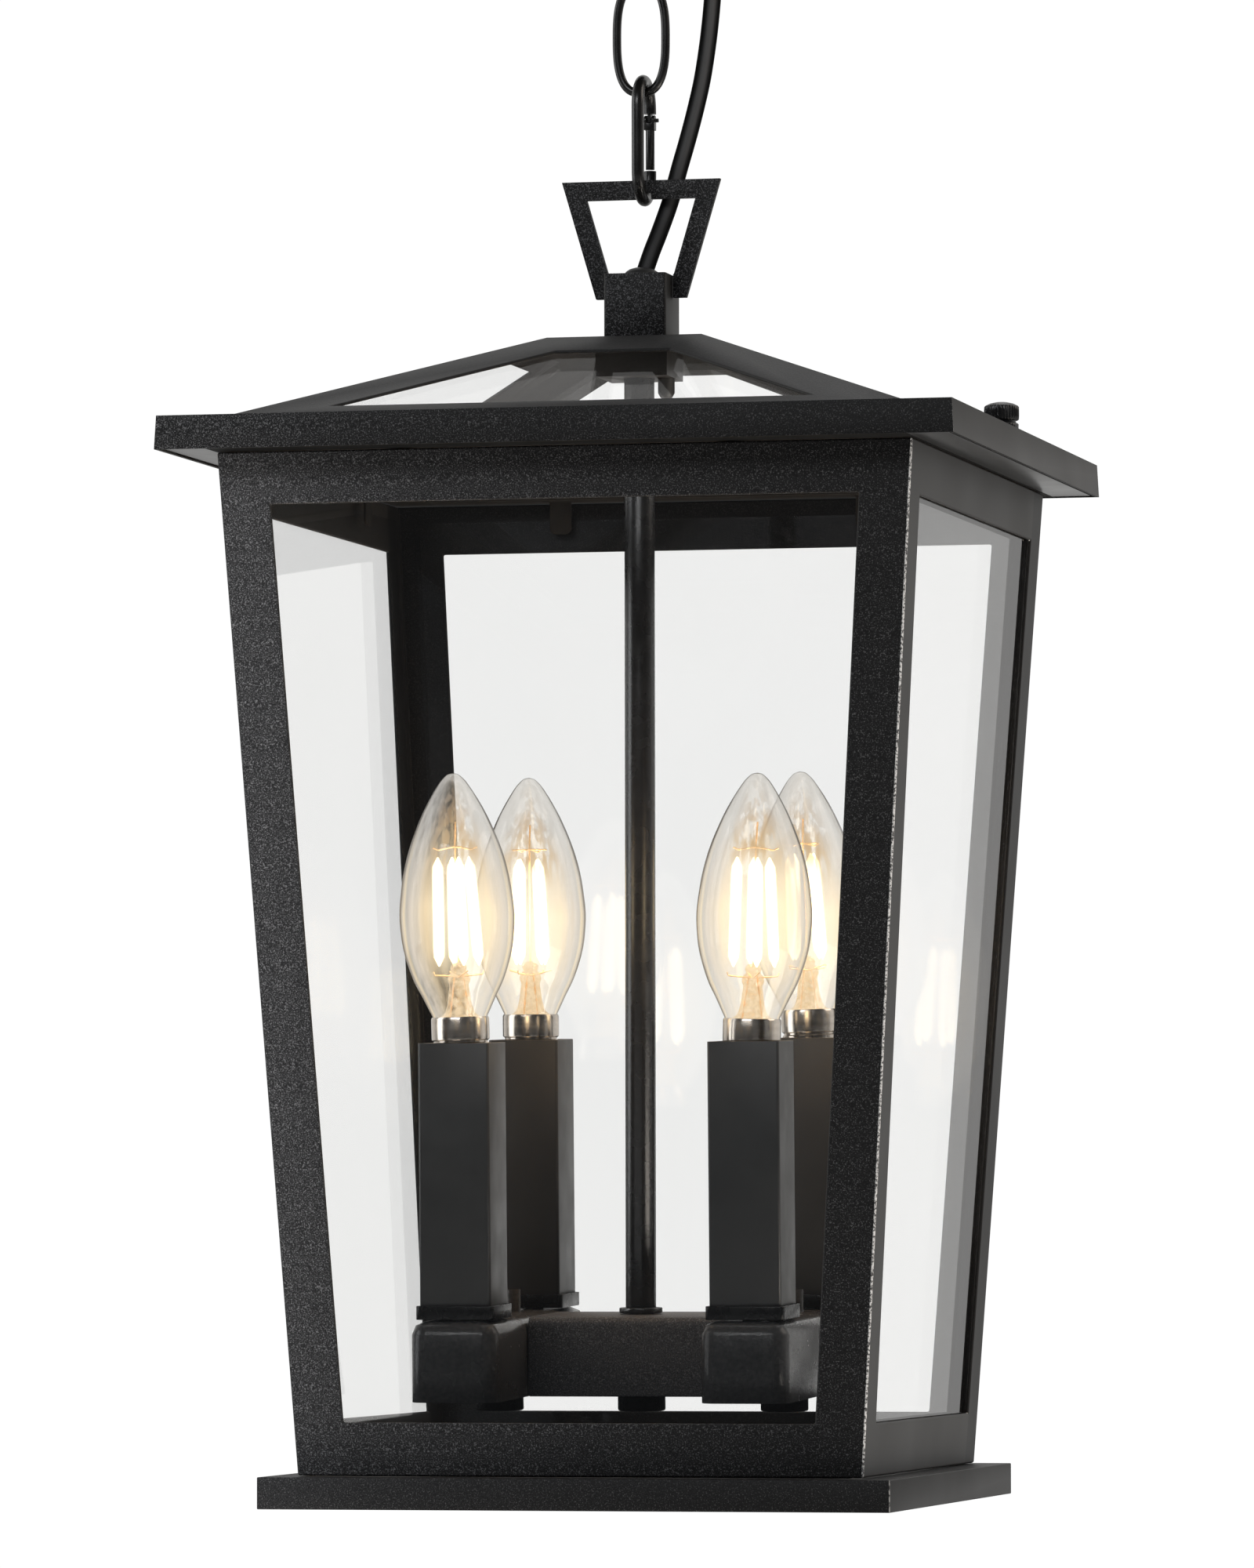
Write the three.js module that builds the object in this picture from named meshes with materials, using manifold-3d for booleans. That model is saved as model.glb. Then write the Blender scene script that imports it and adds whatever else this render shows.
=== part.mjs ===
// Four-light hanging lantern. Millimetres, +Z up, +Y away from the front.
// Heights are measured from the underside of the base; the finished group is then
// lowered so that the ceiling plane, where the canopy is fixed, is Z = 0.
import * as THREE from "three";
import { mergeVertices } from "three/addons/utils/BufferGeometryUtils.js";
import Module from "manifold-3d";

const wasm = await Module();
wasm.setup();

// ---------------------------------------------------------------- driving dimensions
const gap = 0.3; // clearance between pieces that touch
const sheet = 1.2; // folded steel of the cage and the base
const thinSheet = 1.0; // folded steel of the roof, the eave and the canopy
const glassThickness = 2.0;

const baseHalf = 95.7;
const baseHeight = 9.5;
const baseLedgeHalf = 80; // inner edge of the ledge that the cage stands on

const cageBottom = baseHeight + gap;
const cageTop = 313.5;
const cageHalfBottom = 85.8;
const cageHalfTop = 105.4;
const stileWidth = 15.3;
const windowBottom = 25.6;
const windowTop = 297.9;

const flangeHalf = 118.2; // the cage's top flange, which closes the eave from below
const flangeInnerHalf = 92;
const tabCentre = 49.7; // tongues bent down from the flange hold the glass
const tabWidth = 7;
const tabBottom = 303.5;

const eaveHalf = 120;
const eaveFlare = 0.5;
const eaveTop = 323.6;
const eaveOpeningHalf = 100;
const thumbX = 112; // the two studs and knurled nuts that clamp the cage to the eave
const studRadius = 2;

const roofHalfBottom = 105.1;
const roofHalfTop = 24.1;
const roofTop = 353.7;
const roofBottom = eaveTop + gap;
const hipInset = 21.5; // from a hip to the window's slanted side, measured level
const roofWindowInner = 39.3;
const roofWindowOuter = 94.8;

const neckHalf = 9.75;
const neckBottom = roofTop + gap;
const neckTop = 374.4;
const neckRound = 1;
const grommetRadius = 5.3;
const grommetTop = 377.1;

const loopTop = 403.7;
const loopBottom = 367.4;
const loopTopHalf = 24.9;
const loopBottomHalf = 14.2;
const loopInnerTop = 397.9;
const loopInnerTopHalf = 17.1;
const loopInnerBottomHalf = 10.3;
const loopPlate = 2;

const snapWire = 3.8; // carabiner
const snapX = 0.8;
const snapHalf = 8.4;
const hookSeat = 2; // depth of the seat in the hanging loop's top bar
const snapBottomCentre = loopInnerTop + hookSeat - gap - snapWire / 2;
const gateHinge = 423.2;
const gateEnd = 408;
const gateRadius = 1.4;
const gatePin = 0.6;
const tongueHalf = 0.5;
const tongueRadius = 1.3;

const linkWire = 2.7;
const linkHalfWidth = 7.65;
const linkHalfHeight = 16.8;
const linkCentre = 447.6;
const linkSquareness = 2.7;
const linkJoint = 0.0164; // angle, from level, of the butt joint of its ends
const snapTopCentre = linkCentre - linkHalfHeight + linkWire / 2 + gap + snapWire / 2;

const ringWire = 3; // canopy ring that the chain hangs from
const ringRadius = 10.2;
const ringBottomCentre = linkCentre + linkHalfHeight - linkWire / 2 - gap - ringWire / 2;
const ringCentre = ringBottomCentre + ringRadius;
const ceiling = 513;
const canopyDepth = 25;
const canopyBottom = ceiling - canopyDepth;
const canopyRadius = 60;
const canopyCorner = 9;
const canopyScrewY = 34.9; // half of the 69.8 mm screw spacing of a ceiling box
const strapHalf = [10, 54];
const strapThickness = 2;
const boxSlotY = 44.45; // half of the 88.9 mm screw spacing of a large ceiling box

const cordDiameter = 5.3;
const cordGripX = 23.4;
const cordGripBottom = 476.9;

const stemX = -0.8; // the lamp cluster hangs a little off the cage's centre
const rodRadius = 4.65;
const rodBore = 3.4;
const rodTop = 361;
const bracketDepth = 9.4;
const earthStudX = 8.5; // from the rod
const earthStudRadius = 2.6;
const earthStudLength = 6.5; // below the bracket
const clusterTop = 56.9;
const clusterTilt = THREE.MathUtils.degToRad(1.8); // its front hangs lower than its back
const clusterHeight = 24.2;
const barHalfWidth = 13.5;
const barHalfLength = 59.3;
const barRound = 4;
const crossbarHalfDepth = 20;
const lampX = 44.5;
const lampY = 44;
const postRadius = 2.5;
const postY = 17;
const postTop = 6.8;
const couplingRadius = 7.3;
const couplingBottom = -29.4;

const sleeveHalf = 11;
const sleeveTop = 83.4;
const cupHalf = 12.1;
const cupHeight = 4.1;
const socketTop = 79.6;
const skirtRadius = 8.75;
const skirtTop = 91.2;
const bulbTop = 164.7;
const bulbRadius = 17.4;
const bulbPivot = 72; // each lamp sits a little out of true in its socket, turned about this height
const bulbSeats = {
  front_left: { lean: -1.3, lift: 0 },
  front_right: { lean: 1.8, lift: -1.1 },
  back_left: { lean: 0, lift: 0 },
  back_right: { lean: -1.7, lift: 0.9 },
};

// Free route of the supply cord from the canopy to the neck: [x, y, height].
const cordRoute = [
  [23.4, 0.0, 476.0],
  [22.6, 1.8, 468.0],
  [21.5, 3.8, 458.7],
  [20.3, 5.4, 450.5],
  [18.9, 6.9, 442.8],
  [17.4, 7.8, 435.2],
  [15.7, 8.4, 428.4],
  [14.0, 8.6, 422.0],
  [12.2, 8.6, 415.6],
  [10.4, 8.4, 409.4],
  [9.2, 8.0, 404.8],
  [8.2, 7.5, 400.6],
  [7.0, 6.8, 396.3],
  [5.6, 5.6, 391.6],
  [4.2, 3.9, 386.8],
  [2.7, 2.2, 382.0],
  [1.0, 0.5, 376.0],
];
const cordUpperCut = 4; // the cord is drawn in three lengths, cut at these route points
const cordLowerCut = 9;

// ---------------------------------------------------------------- colours
const powder = { color: 0x1d1d1f, roughness: 0.62, metalness: 0.25 };
const satinBlack = { color: 0x161617, roughness: 0.4, metalness: 0.2 };
const glossBlack = { color: 0x0e0e0f, roughness: 0.22, metalness: 0.3 };
const wireBlack = { color: 0x151516, roughness: 0.3, metalness: 0.6 };
const steel = { color: 0x9a9a96, roughness: 0.35, metalness: 0.9 };
const rubber = { color: 0x0c0c0d, roughness: 0.5, metalness: 0 };
const porcelain = { color: 0xe6e2d8, roughness: 0.5, metalness: 0 };
const clearGlass = { color: 0xeef2f0, roughness: 0.05, metalness: 0, transparent: true, opacity: 0.3 };

// ---------------------------------------------------------------- solids
function solid(geometry) {
  geometry.deleteAttribute("normal");
  geometry.deleteAttribute("uv");
  const merged = mergeVertices(geometry, 1e-4);
  const mesh = new wasm.Mesh({
    numProp: 3,
    vertProperties: new Float32Array(merged.attributes.position.array),
    triVerts: new Uint32Array(merged.index.array),
  });
  return new wasm.Manifold(mesh);
}

function geometryOf(body) {
  const mesh = body.getMesh();
  const geometry = new THREE.BufferGeometry();
  geometry.setAttribute("position", new THREE.BufferAttribute(mesh.vertProperties, 3));
  geometry.setIndex(new THREE.BufferAttribute(mesh.triVerts, 1));
  return geometry;
}

function block(x, y, z) {
  const geometry = new THREE.BoxGeometry(x[1] - x[0], y[1] - y[0], z[1] - z[0]);
  geometry.translate((x[0] + x[1]) / 2, (y[0] + y[1]) / 2, (z[0] + z[1]) / 2);
  return solid(geometry);
}

function cylinder(radius, z, x = 0, y = 0, sides = 20) {
  const geometry = new THREE.CylinderGeometry(radius, radius, z[1] - z[0], sides);
  geometry.rotateX(Math.PI / 2);
  geometry.translate(x, y, (z[0] + z[1]) / 2);
  return solid(geometry);
}

// A square frustum with its sides along X and Y.
function frustum(halfBottom, zBottom, halfTop, zTop) {
  const corner = Math.SQRT2;
  const geometry = new THREE.CylinderGeometry(halfTop * corner, halfBottom * corner, zTop - zBottom, 4);
  geometry.rotateY(Math.PI / 4);
  geometry.rotateX(Math.PI / 2);
  geometry.translate(0, 0, (zBottom + zTop) / 2);
  return solid(geometry);
}

// A profile of [radius, height] points turned about the Z axis; the outer side is listed upwards.
function turned(profile, x = 0, y = 0, sides = 18) {
  const points = profile.map(([radius, height]) => new THREE.Vector2(radius, height));
  const geometry = new THREE.LatheGeometry(points, sides);
  geometry.rotateX(Math.PI / 2);
  geometry.translate(x, y, 0);
  return solid(geometry);
}

// A level outline of [x, y] points raised from z[0] to z[1].
function prism(outline, z) {
  const shape = new THREE.Shape(outline.map(([x, y]) => new THREE.Vector2(x, y)));
  const geometry = new THREE.ExtrudeGeometry(shape, { depth: z[1] - z[0], bevelEnabled: false });
  geometry.translate(0, 0, z[0]);
  return solid(geometry);
}

// An upright outline of [x, height] points, as thick as the range y.
function upright(outline, y) {
  const body = prism(outline, [-y[1], -y[0]]);
  return body.rotate([90, 0, 0]);
}

function roundedSquare(halfX, halfY, radius) {
  const shape = new THREE.Shape();
  shape.absarc(halfX - radius, halfY - radius, radius, 0, Math.PI / 2);
  shape.absarc(radius - halfX, halfY - radius, radius, Math.PI / 2, Math.PI);
  shape.absarc(radius - halfX, radius - halfY, radius, Math.PI, 1.5 * Math.PI);
  shape.absarc(halfX - radius, radius - halfY, radius, 1.5 * Math.PI, 2 * Math.PI);
  return shape;
}

function roundedPost(halfX, halfY, radius, z) {
  const settings = { depth: z[1] - z[0], bevelEnabled: false, curveSegments: 2 };
  const geometry = new THREE.ExtrudeGeometry(roundedSquare(halfX, halfY, radius), settings);
  geometry.translate(0, 0, z[0]);
  return solid(geometry);
}

// A block whose top edges are rounded over; its lower end is cut square.
function domedBlock(halfX, halfY, round, z) {
  const shape = roundedSquare(halfX - round, halfY - round, 1.5);
  const settings = {
    depth: z[1] - z[0],
    bevelSize: round,
    bevelThickness: round,
    bevelSegments: 2,
    curveSegments: 2,
  };
  const geometry = new THREE.ExtrudeGeometry(shape, settings);
  geometry.translate(0, 0, z[0] - round);
  const spare = 2 * round;
  const cut = block([-halfX - 1, halfX + 1], [-halfY - 1, halfY + 1], [z[0] - spare, z[0]]);
  return solid(geometry).subtract(cut);
}

// A round wire or cord along a curve.
function wire(curve, diameter, steps, sides) {
  const section = new THREE.Shape();
  section.absarc(0, 0, diameter / 2, 0, 2 * Math.PI);
  const outline = section.getSpacedPoints(sides).slice(0, sides);
  const settings = { steps, extrudePath: curve, bevelEnabled: false };
  return solid(new THREE.ExtrudeGeometry(new THREE.Shape(outline), settings));
}

function hexNut(acrossFlats, bore, z, x = 0, y = 0) {
  const outer = cylinder(acrossFlats / Math.sqrt(3), z, x, y, 6);
  return outer.subtract(cylinder(bore, [z[0] - 1, z[1] + 1], x, y));
}

// The quarter of the plan that faces the front, kept back from the diagonals by inset.
function frontQuarter(inset, z) {
  const far = 200;
  return prism([[0, -inset], [-far, -far - inset], [far, -far - inset]], z);
}

// ---------------------------------------------------------------- assembly helpers
const lantern = new THREE.Group();

function add(parent, name, body, look) {
  const material = new THREE.MeshStandardMaterial(look);
  const mesh = new THREE.Mesh(geometryOf(body), material);
  mesh.name = name;
  parent.add(mesh);
  return mesh;
}

const sides = ["front", "right", "back", "left"];

// One copy of a front-facing piece on each of the four sides.
function addFourSides(suffix, frontBody, look) {
  sides.forEach((side, index) => {
    add(lantern, `${side}_${suffix}`, frontBody.rotate([0, 0, 90 * index]), look);
  });
}

// ---------------------------------------------------------------- ceiling fitting
function mountingStrap() {
  const z = [ceiling - strapThickness, ceiling];
  const through = [z[0] - 1, z[1] + 1];
  let strap = block([-strapHalf[0], strapHalf[0]], [-strapHalf[1], strapHalf[1]], z);
  for (const side of [-1, 1]) {
    const slot = [side * boxSlotY - 4, side * boxSlotY + 4];
    strap = strap.subtract(cylinder(2.4, through, 0, side * canopyScrewY));
    strap = strap.subtract(block([-2.4, 2.4], slot, through));
  }
  return strap;
}

function canopyShell() {
  const profile = [];
  const inner = canopyRadius - thinSheet;
  const innerCorner = canopyCorner - thinSheet;
  const arcSteps = 3;
  profile.push([ringWire + 1.3, canopyBottom]);
  for (let i = 0; i <= arcSteps; i += 1) {
    const angle = (i / arcSteps) * (Math.PI / 2);
    const r = canopyRadius - canopyCorner + canopyCorner * Math.sin(angle);
    profile.push([r, canopyBottom + canopyCorner * (1 - Math.cos(angle))]);
  }
  profile.push([canopyRadius, ceiling]);
  profile.push([inner, ceiling]);
  for (let i = arcSteps; i >= 0; i -= 1) {
    const angle = (i / arcSteps) * (Math.PI / 2);
    const r = inner - innerCorner + innerCorner * Math.sin(angle);
    profile.push([r, canopyBottom + thinSheet + innerCorner * (1 - Math.cos(angle))]);
  }
  profile.push([ringWire + 1.3, canopyBottom + thinSheet]);
  profile.push(profile[0]);
  const through = [canopyBottom - 1, canopyBottom + 3];
  let shell = turned(profile, 0, 0, 32);
  for (const side of [-1, 1]) {
    shell = shell.subtract(cylinder(2.4, through, 0, side * canopyScrewY));
  }
  return shell.subtract(cylinder(5.3, through, cordGripX, 0));
}

// A long screw through the canopy into the strap, with a ball-shaped head.
function canopyScrew(side) {
  const under = canopyBottom - gap;
  const profile = [
    [0, under - 8],
    [2.4, under - 7.2],
    [3.9, under - 5.2],
    [4.4, under - 3],
    [3.9, under - 0.8],
    [3.4, under],
    [studRadius, under],
    [studRadius, ceiling - gap],
    [0, ceiling - gap],
  ];
  return turned(profile, 0, side * canopyScrewY, 16);
}

function canopyLoop() {
  const ring = new THREE.TorusGeometry(ringRadius, ringWire / 2, 8, 28);
  ring.rotateY(Math.PI / 2);
  ring.translate(0, 0, ringCentre);
  const collarBottom = ringCentre + ringRadius - 0.8;
  const collar = turned([
    [0, collarBottom],
    [3.2, collarBottom],
    [6, collarBottom + 2.4],
    [6, canopyBottom - gap],
    [4, canopyBottom - gap],
    [4, canopyBottom + 11],
    [0, canopyBottom + 11],
  ]);
  return solid(ring).add(collar);
}

function cordGrip() {
  const under = canopyBottom - gap;
  const profile = [
    [0, cordGripBottom],
    [3.4, cordGripBottom],
    [5, under - 2.4],
    [6.6, under - 1.6],
    [6.6, under],
    [4.9, under],
    [4.9, canopyBottom + 8],
    [0, canopyBottom + 8],
  ];
  return turned(profile, cordGripX, 0, 16);
}

function buildCeilingFitting() {
  add(lantern, "mounting_strap", mountingStrap(), steel);
  add(lantern, "canopy", canopyShell(), powder);
  add(lantern, "canopy_screw_front", canopyScrew(-1), glossBlack);
  add(lantern, "canopy_screw_back", canopyScrew(1), glossBlack);
  add(lantern, "canopy_loop", canopyLoop(), wireBlack);
  const nutBottom = canopyBottom + thinSheet + gap;
  add(lantern, "canopy_loop_nut", hexNut(13, 4.3, [nutBottom, nutBottom + 4]), steel);
  add(lantern, "canopy_cord_grip", cordGrip(), rubber);
}

// ---------------------------------------------------------------- chain, carabiner and cord
function superOval(angle) {
  const power = 2 / linkSquareness;
  const x = Math.sign(Math.cos(angle)) * Math.abs(Math.cos(angle)) ** power;
  const z = Math.sign(Math.sin(angle)) * Math.abs(Math.sin(angle)) ** power;
  return new THREE.Vector3(linkHalfWidth * x, 0, linkCentre + linkHalfHeight * z);
}

// The link's two ends meet in a butt joint on its right side.
function chainLink() {
  const points = [];
  const slit = 0.0018;
  const count = 44;
  for (let i = 0; i <= count; i += 1) {
    points.push(superOval(linkJoint + slit + (i / count) * 2 * (Math.PI - slit)));
  }
  return wire(new THREE.CatmullRomCurve3(points), linkWire, 36, 8);
}

function snapArc(points, centre, from, to) {
  const steps = 8;
  for (let i = 0; i <= steps; i += 1) {
    const angle = from + (i / steps) * (to - from);
    const y = snapHalf * Math.cos(angle);
    points.push(new THREE.Vector3(snapX, y, centre + snapHalf * Math.sin(angle)));
  }
}

// A cylinder lying along X on the axis of the gate's hinge.
function hingeCylinder(radius, halfLength) {
  const geometry = new THREE.CylinderGeometry(radius, radius, 2 * halfLength, 16);
  geometry.rotateZ(Math.PI / 2);
  geometry.translate(snapX, snapHalf, gateHinge);
  return solid(geometry);
}

function hingeBlock(halfX, halfY, z) {
  return block([snapX - halfX, snapX + halfX], [snapHalf - halfY, snapHalf + halfY], z);
}

// The hook's open side is closed by the gate, which turns on a flat tongue at its upper end.
function snapHook() {
  const upper = snapTopCentre - snapHalf;
  const lower = snapBottomCentre + snapHalf;
  const points = [new THREE.Vector3(snapX, snapHalf, gateEnd - 0.5)];
  snapArc(points, lower, 0, -Math.PI);
  snapArc(points, upper, Math.PI, 0);
  points.push(new THREE.Vector3(snapX, snapHalf, gateHinge + 2.1));
  const hook = wire(new THREE.CatmullRomCurve3(points, false, "catmullrom", 0.3), snapWire, 44, 8);
  const tongue = hingeBlock(tongueHalf, tongueRadius, [gateHinge, gateHinge + 3]);
  const knuckle = hingeCylinder(tongueRadius, tongueHalf);
  return hook.add(tongue).add(knuckle).subtract(hingeCylinder(gatePin + gap, 3));
}

function snapGate() {
  const neck = gateHinge - 2.6;
  const slotHalf = tongueHalf + gap;
  const bar = cylinder(gateRadius, [gateEnd, neck], snapX, snapHalf, 12);
  const head = hingeBlock(1.65, gateRadius, [neck - 0.4, gateHinge]).add(hingeCylinder(1.6, 1.65));
  const slot = hingeBlock(slotHalf, 2, [gateHinge, gateHinge + 2]);
  const room = hingeCylinder(tongueRadius + gap + 0.05, slotHalf);
  return bar.add(head).subtract(slot.add(room)).add(hingeCylinder(gatePin, 2.7));
}

function cordLength(from, to) {
  const points = cordRoute.map(([x, y, z]) => new THREE.Vector3(x, y, z));
  const whole = new THREE.CatmullRomCurve3(points, false, "centripetal");
  const last = cordRoute.length - 1;
  const trim = 0.15 / 6.5;
  const steps = 3 * (to - from);
  const piece = [];
  for (let i = 0; i <= steps; i += 1) {
    const at = from + trim + (i / steps) * (to - from - 2 * trim);
    piece.push(whole.getPoint(at / last));
  }
  return wire(new THREE.CatmullRomCurve3(piece), cordDiameter, 2 * (to - from), 10);
}

function buildSuspension() {
  add(lantern, "chain_link", chainLink(), wireBlack);
  add(lantern, "carabiner_hook", snapHook(), wireBlack);
  add(lantern, "carabiner_gate", snapGate(), wireBlack);
  add(lantern, "supply_cord_upper", cordLength(0, cordUpperCut), rubber);
  add(lantern, "supply_cord_middle", cordLength(cordUpperCut, cordLowerCut), rubber);
  add(lantern, "supply_cord_lower", cordLength(cordLowerCut, cordRoute.length - 1), rubber);
}

// ---------------------------------------------------------------- head and roof
function hangingLoop() {
  const side = neckHalf + gap;
  const right = [
    [side, loopBottom],
    [loopBottomHalf, loopBottom],
    [loopTopHalf, loopTop],
  ];
  const inner = [
    [loopInnerTopHalf, loopInnerTop],
    [loopInnerBottomHalf, neckTop + gap],
    [side, neckTop + gap],
  ];
  const mirror = ([x, z]) => [-x, z];
  const outline = [
    ...right,
    ...right.map(mirror).reverse(),
    ...inner.map(mirror).reverse(),
    ...inner,
  ];
  const seat = [snapX - snapWire / 2 - 0.5, snapX + snapWire / 2 + 0.5];
  const notch = block(seat, [-loopPlate, loopPlate], [loopInnerTop - 1, loopInnerTop + hookSeat]);
  return upright(outline, [-loopPlate / 2, loopPlate / 2]).subtract(notch);
}

function neckTube() {
  const z = [neckBottom, neckTop];
  const outer = roundedPost(neckHalf, neckHalf, neckRound, z);
  const hollow = neckHalf - sheet;
  const inside = block([-hollow, hollow], [-hollow, hollow], [z[0] - 1, z[1] - sheet]);
  return outer.subtract(inside).subtract(cylinder(3.2, [z[1] - 3, z[1] + 1]));
}

function cordGrommet() {
  const foot = neckTop + gap;
  const rise = grommetTop - foot;
  const profile = [[0, foot], [grommetRadius, foot]];
  const steps = 4;
  for (let i = 1; i <= steps; i += 1) {
    const angle = (i / steps) * (Math.PI / 2);
    const radius = i === steps ? 0 : grommetRadius * Math.cos(angle);
    profile.push([radius, foot + rise * Math.sin(angle)]);
  }
  return turned(profile).subtract(cordHole());
}

// The slanting hole that the cord enters, in line with the last of its route.
function cordHole() {
  const [from, to] = cordRoute.slice(-2).map(([x, y, z]) => new THREE.Vector3(x, y, z));
  const beyond = to.clone().multiplyScalar(2).sub(from);
  return wire(new THREE.LineCurve3(from, beyond), cordDiameter + 2 * gap, 2, 20);
}

function roofFrame() {
  const slope = (roofTop - eaveTop) / (roofHalfBottom - roofHalfTop);
  const drop = thinSheet * Math.hypot(1, slope);
  const outer = frustum(roofHalfBottom, roofBottom, roofHalfTop, roofTop);
  const inner = frustum(roofHalfBottom - drop / slope, roofBottom, roofHalfTop, roofTop - drop);
  const below = block([-roofHalfBottom, roofHalfBottom], [-roofHalfBottom, roofHalfBottom], [0, roofBottom]);
  const window = prism([
    [-roofWindowInner + hipInset, -roofWindowInner],
    [-roofWindowOuter + hipInset, -roofWindowOuter],
    [roofWindowOuter - hipInset, -roofWindowOuter],
    [roofWindowInner - hipInset, -roofWindowInner],
  ], [roofBottom - 5, roofTop + 5]);
  let frame = outer.subtract(inner).subtract(below);
  for (let index = 0; index < sides.length; index += 1) {
    frame = frame.subtract(window.rotate([0, 0, 90 * index]));
  }
  return frame.subtract(cylinder(rodRadius + gap, [roofTop - 5, roofTop + 5], stemX, 0));
}

function roofPane() {
  const slope = (roofTop - eaveTop) / (roofHalfBottom - roofHalfTop);
  const lean = Math.hypot(1, slope);
  const top = (thinSheet + gap) * lean;
  const bottom = top + glassThickness * lean;
  const upper = frustum(roofHalfBottom, eaveTop - top, roofHalfTop, roofTop - top);
  const lower = frustum(roofHalfBottom, eaveTop - bottom, roofHalfTop, roofTop - bottom);
  const reach = [-98, -30];
  const area = frontQuarter(11, [eaveTop - 10, roofTop + 10]);
  const strip = block([-100, 100], reach, [eaveTop - 10, roofTop + 10]);
  return upper.subtract(lower).intersect(area).intersect(strip);
}

function eavePan() {
  const under = eaveTop - thinSheet;
  const outer = frustum(eaveHalf + eaveFlare, cageTop, eaveHalf, eaveTop);
  const wall = eaveHalf - thinSheet;
  const inner = frustum(wall + eaveFlare, cageTop - 0.01, wall, under);
  const opening = [-eaveOpeningHalf, eaveOpeningHalf];
  let pan = outer.subtract(inner).subtract(block(opening, opening, [under - 1, eaveTop + 1]));
  for (const side of [-1, 1]) {
    pan = pan.subtract(cylinder(studRadius + 0.5, [under - 1, eaveTop + 1], side * thumbX, 0));
  }
  return pan;
}

// A knurled nut with a domed top and a groove above its foot.
function thumbNut(side) {
  const foot = eaveTop + gap;
  const bore = studRadius + gap;
  const profile = [
    [bore, foot],
    [5, foot],
    [5.2, foot + 2.6],
    [4.4, foot + 2.9],
    [4.4, foot + 3.4],
    [5.3, foot + 3.7],
    [5.3, foot + 7.8],
    [3.6, foot + 8.8],
    [0, foot + 9.3],
    [0, foot + 7],
    [bore, foot + 7],
    [bore, foot],
  ];
  return turned(profile, side * thumbX, 0, 16);
}

function buildHead() {
  add(lantern, "hanging_loop", hangingLoop(), powder);
  add(lantern, "neck_tube", neckTube(), powder);
  add(lantern, "cord_grommet", cordGrommet(), rubber);
  add(lantern, "roof_frame", roofFrame(), powder);
  addFourSides("roof_pane", roofPane(), clearGlass);
  add(lantern, "eave_pan", eavePan(), powder);
  add(lantern, "thumb_nut_left", thumbNut(-1), glossBlack);
  add(lantern, "thumb_nut_right", thumbNut(1), glossBlack);
}

// ---------------------------------------------------------------- cage
function cageShell(inset, thickness, z) {
  const lean = (cageHalfTop - cageHalfBottom) / (cageTop - baseHeight);
  const half = (height) => cageHalfBottom + lean * (height - baseHeight) - inset;
  const outer = frustum(half(z[0]), z[0], half(z[1]), z[1]);
  const inner = frustum(half(z[0] - 1) - thickness, z[0] - 1, half(z[1] + 1) - thickness, z[1] + 1);
  return outer.subtract(inner);
}

function cageFrame() {
  const lean = (cageHalfTop - cageHalfBottom) / (cageTop - baseHeight);
  const half = (height) => cageHalfBottom + lean * (height - baseHeight) - stileWidth;
  const window = upright([
    [-half(windowBottom), windowBottom],
    [half(windowBottom), windowBottom],
    [half(windowTop), windowTop],
    [-half(windowTop), windowTop],
  ], [-150, -50]);
  const z = [cageBottom, cageTop];
  const mitre = gap / Math.SQRT2;
  return cageShell(0, sheet, z).intersect(frontQuarter(mitre, z)).subtract(window);
}

function cagePane() {
  const z = [12, 308];
  return cageShell(sheet + gap, glassThickness, z).intersect(frontQuarter(5, z));
}

// A round-cornered tongue that hangs from the flange behind the glass.
function glassTab(x) {
  const z = [tabBottom, cageTop + gap + sheet / 2];
  const tongue = roundedPost(tabWidth / 2, (z[1] - z[0]) / 2, 2, [0, thinSheet]);
  const standing = tongue.rotate([90, 0, 0]).translate([x, 0, (z[0] + z[1]) / 2]);
  const square = block([x - tabWidth / 2, x + tabWidth / 2], [-thinSheet, 0], [z[1] - 3, z[1]]);
  return standing.add(square).translate([0, -99.4, 0]);
}

function cageFlange() {
  const z = [cageTop + gap, cageTop + gap + thinSheet];
  const outer = [-flangeHalf, flangeHalf];
  const inner = [-flangeInnerHalf, flangeInnerHalf];
  let flange = block(outer, outer, z).subtract(block(inner, inner, [z[0] - 1, z[1] + 1]));
  const tabs = glassTab(-tabCentre).add(glassTab(tabCentre));
  for (let index = 0; index < sides.length; index += 1) {
    flange = flange.add(tabs.rotate([0, 0, 90 * index]));
  }
  for (const side of [-1, 1]) {
    flange = flange.add(cylinder(studRadius, [z[0] + 0.2, eaveTop + 6], side * thumbX, 0, 12));
  }
  return flange;
}

function basePan() {
  const whole = [-baseHalf, baseHalf];
  const wall = [-baseHalf + sheet, baseHalf - sheet];
  const ledge = [-baseLedgeHalf, baseLedgeHalf];
  let pan = block(whole, whole, [0, baseHeight]);
  pan = pan.subtract(block(wall, wall, [sheet, baseHeight - sheet]));
  pan = pan.subtract(block(ledge, ledge, [sheet, baseHeight + 1]));
  const drain = 82;
  for (const x of [-drain, drain]) {
    for (const y of [-drain, drain]) {
      pan = pan.subtract(cylinder(2.5, [-1, sheet + 1], x, y, 12));
    }
  }
  return pan;
}

function buildCage() {
  addFourSides("frame", cageFrame(), powder);
  addFourSides("pane", cagePane(), clearGlass);
  add(lantern, "cage_top_flange", cageFlange(), powder);
  add(lantern, "base_pan", basePan(), powder);
}

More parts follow.
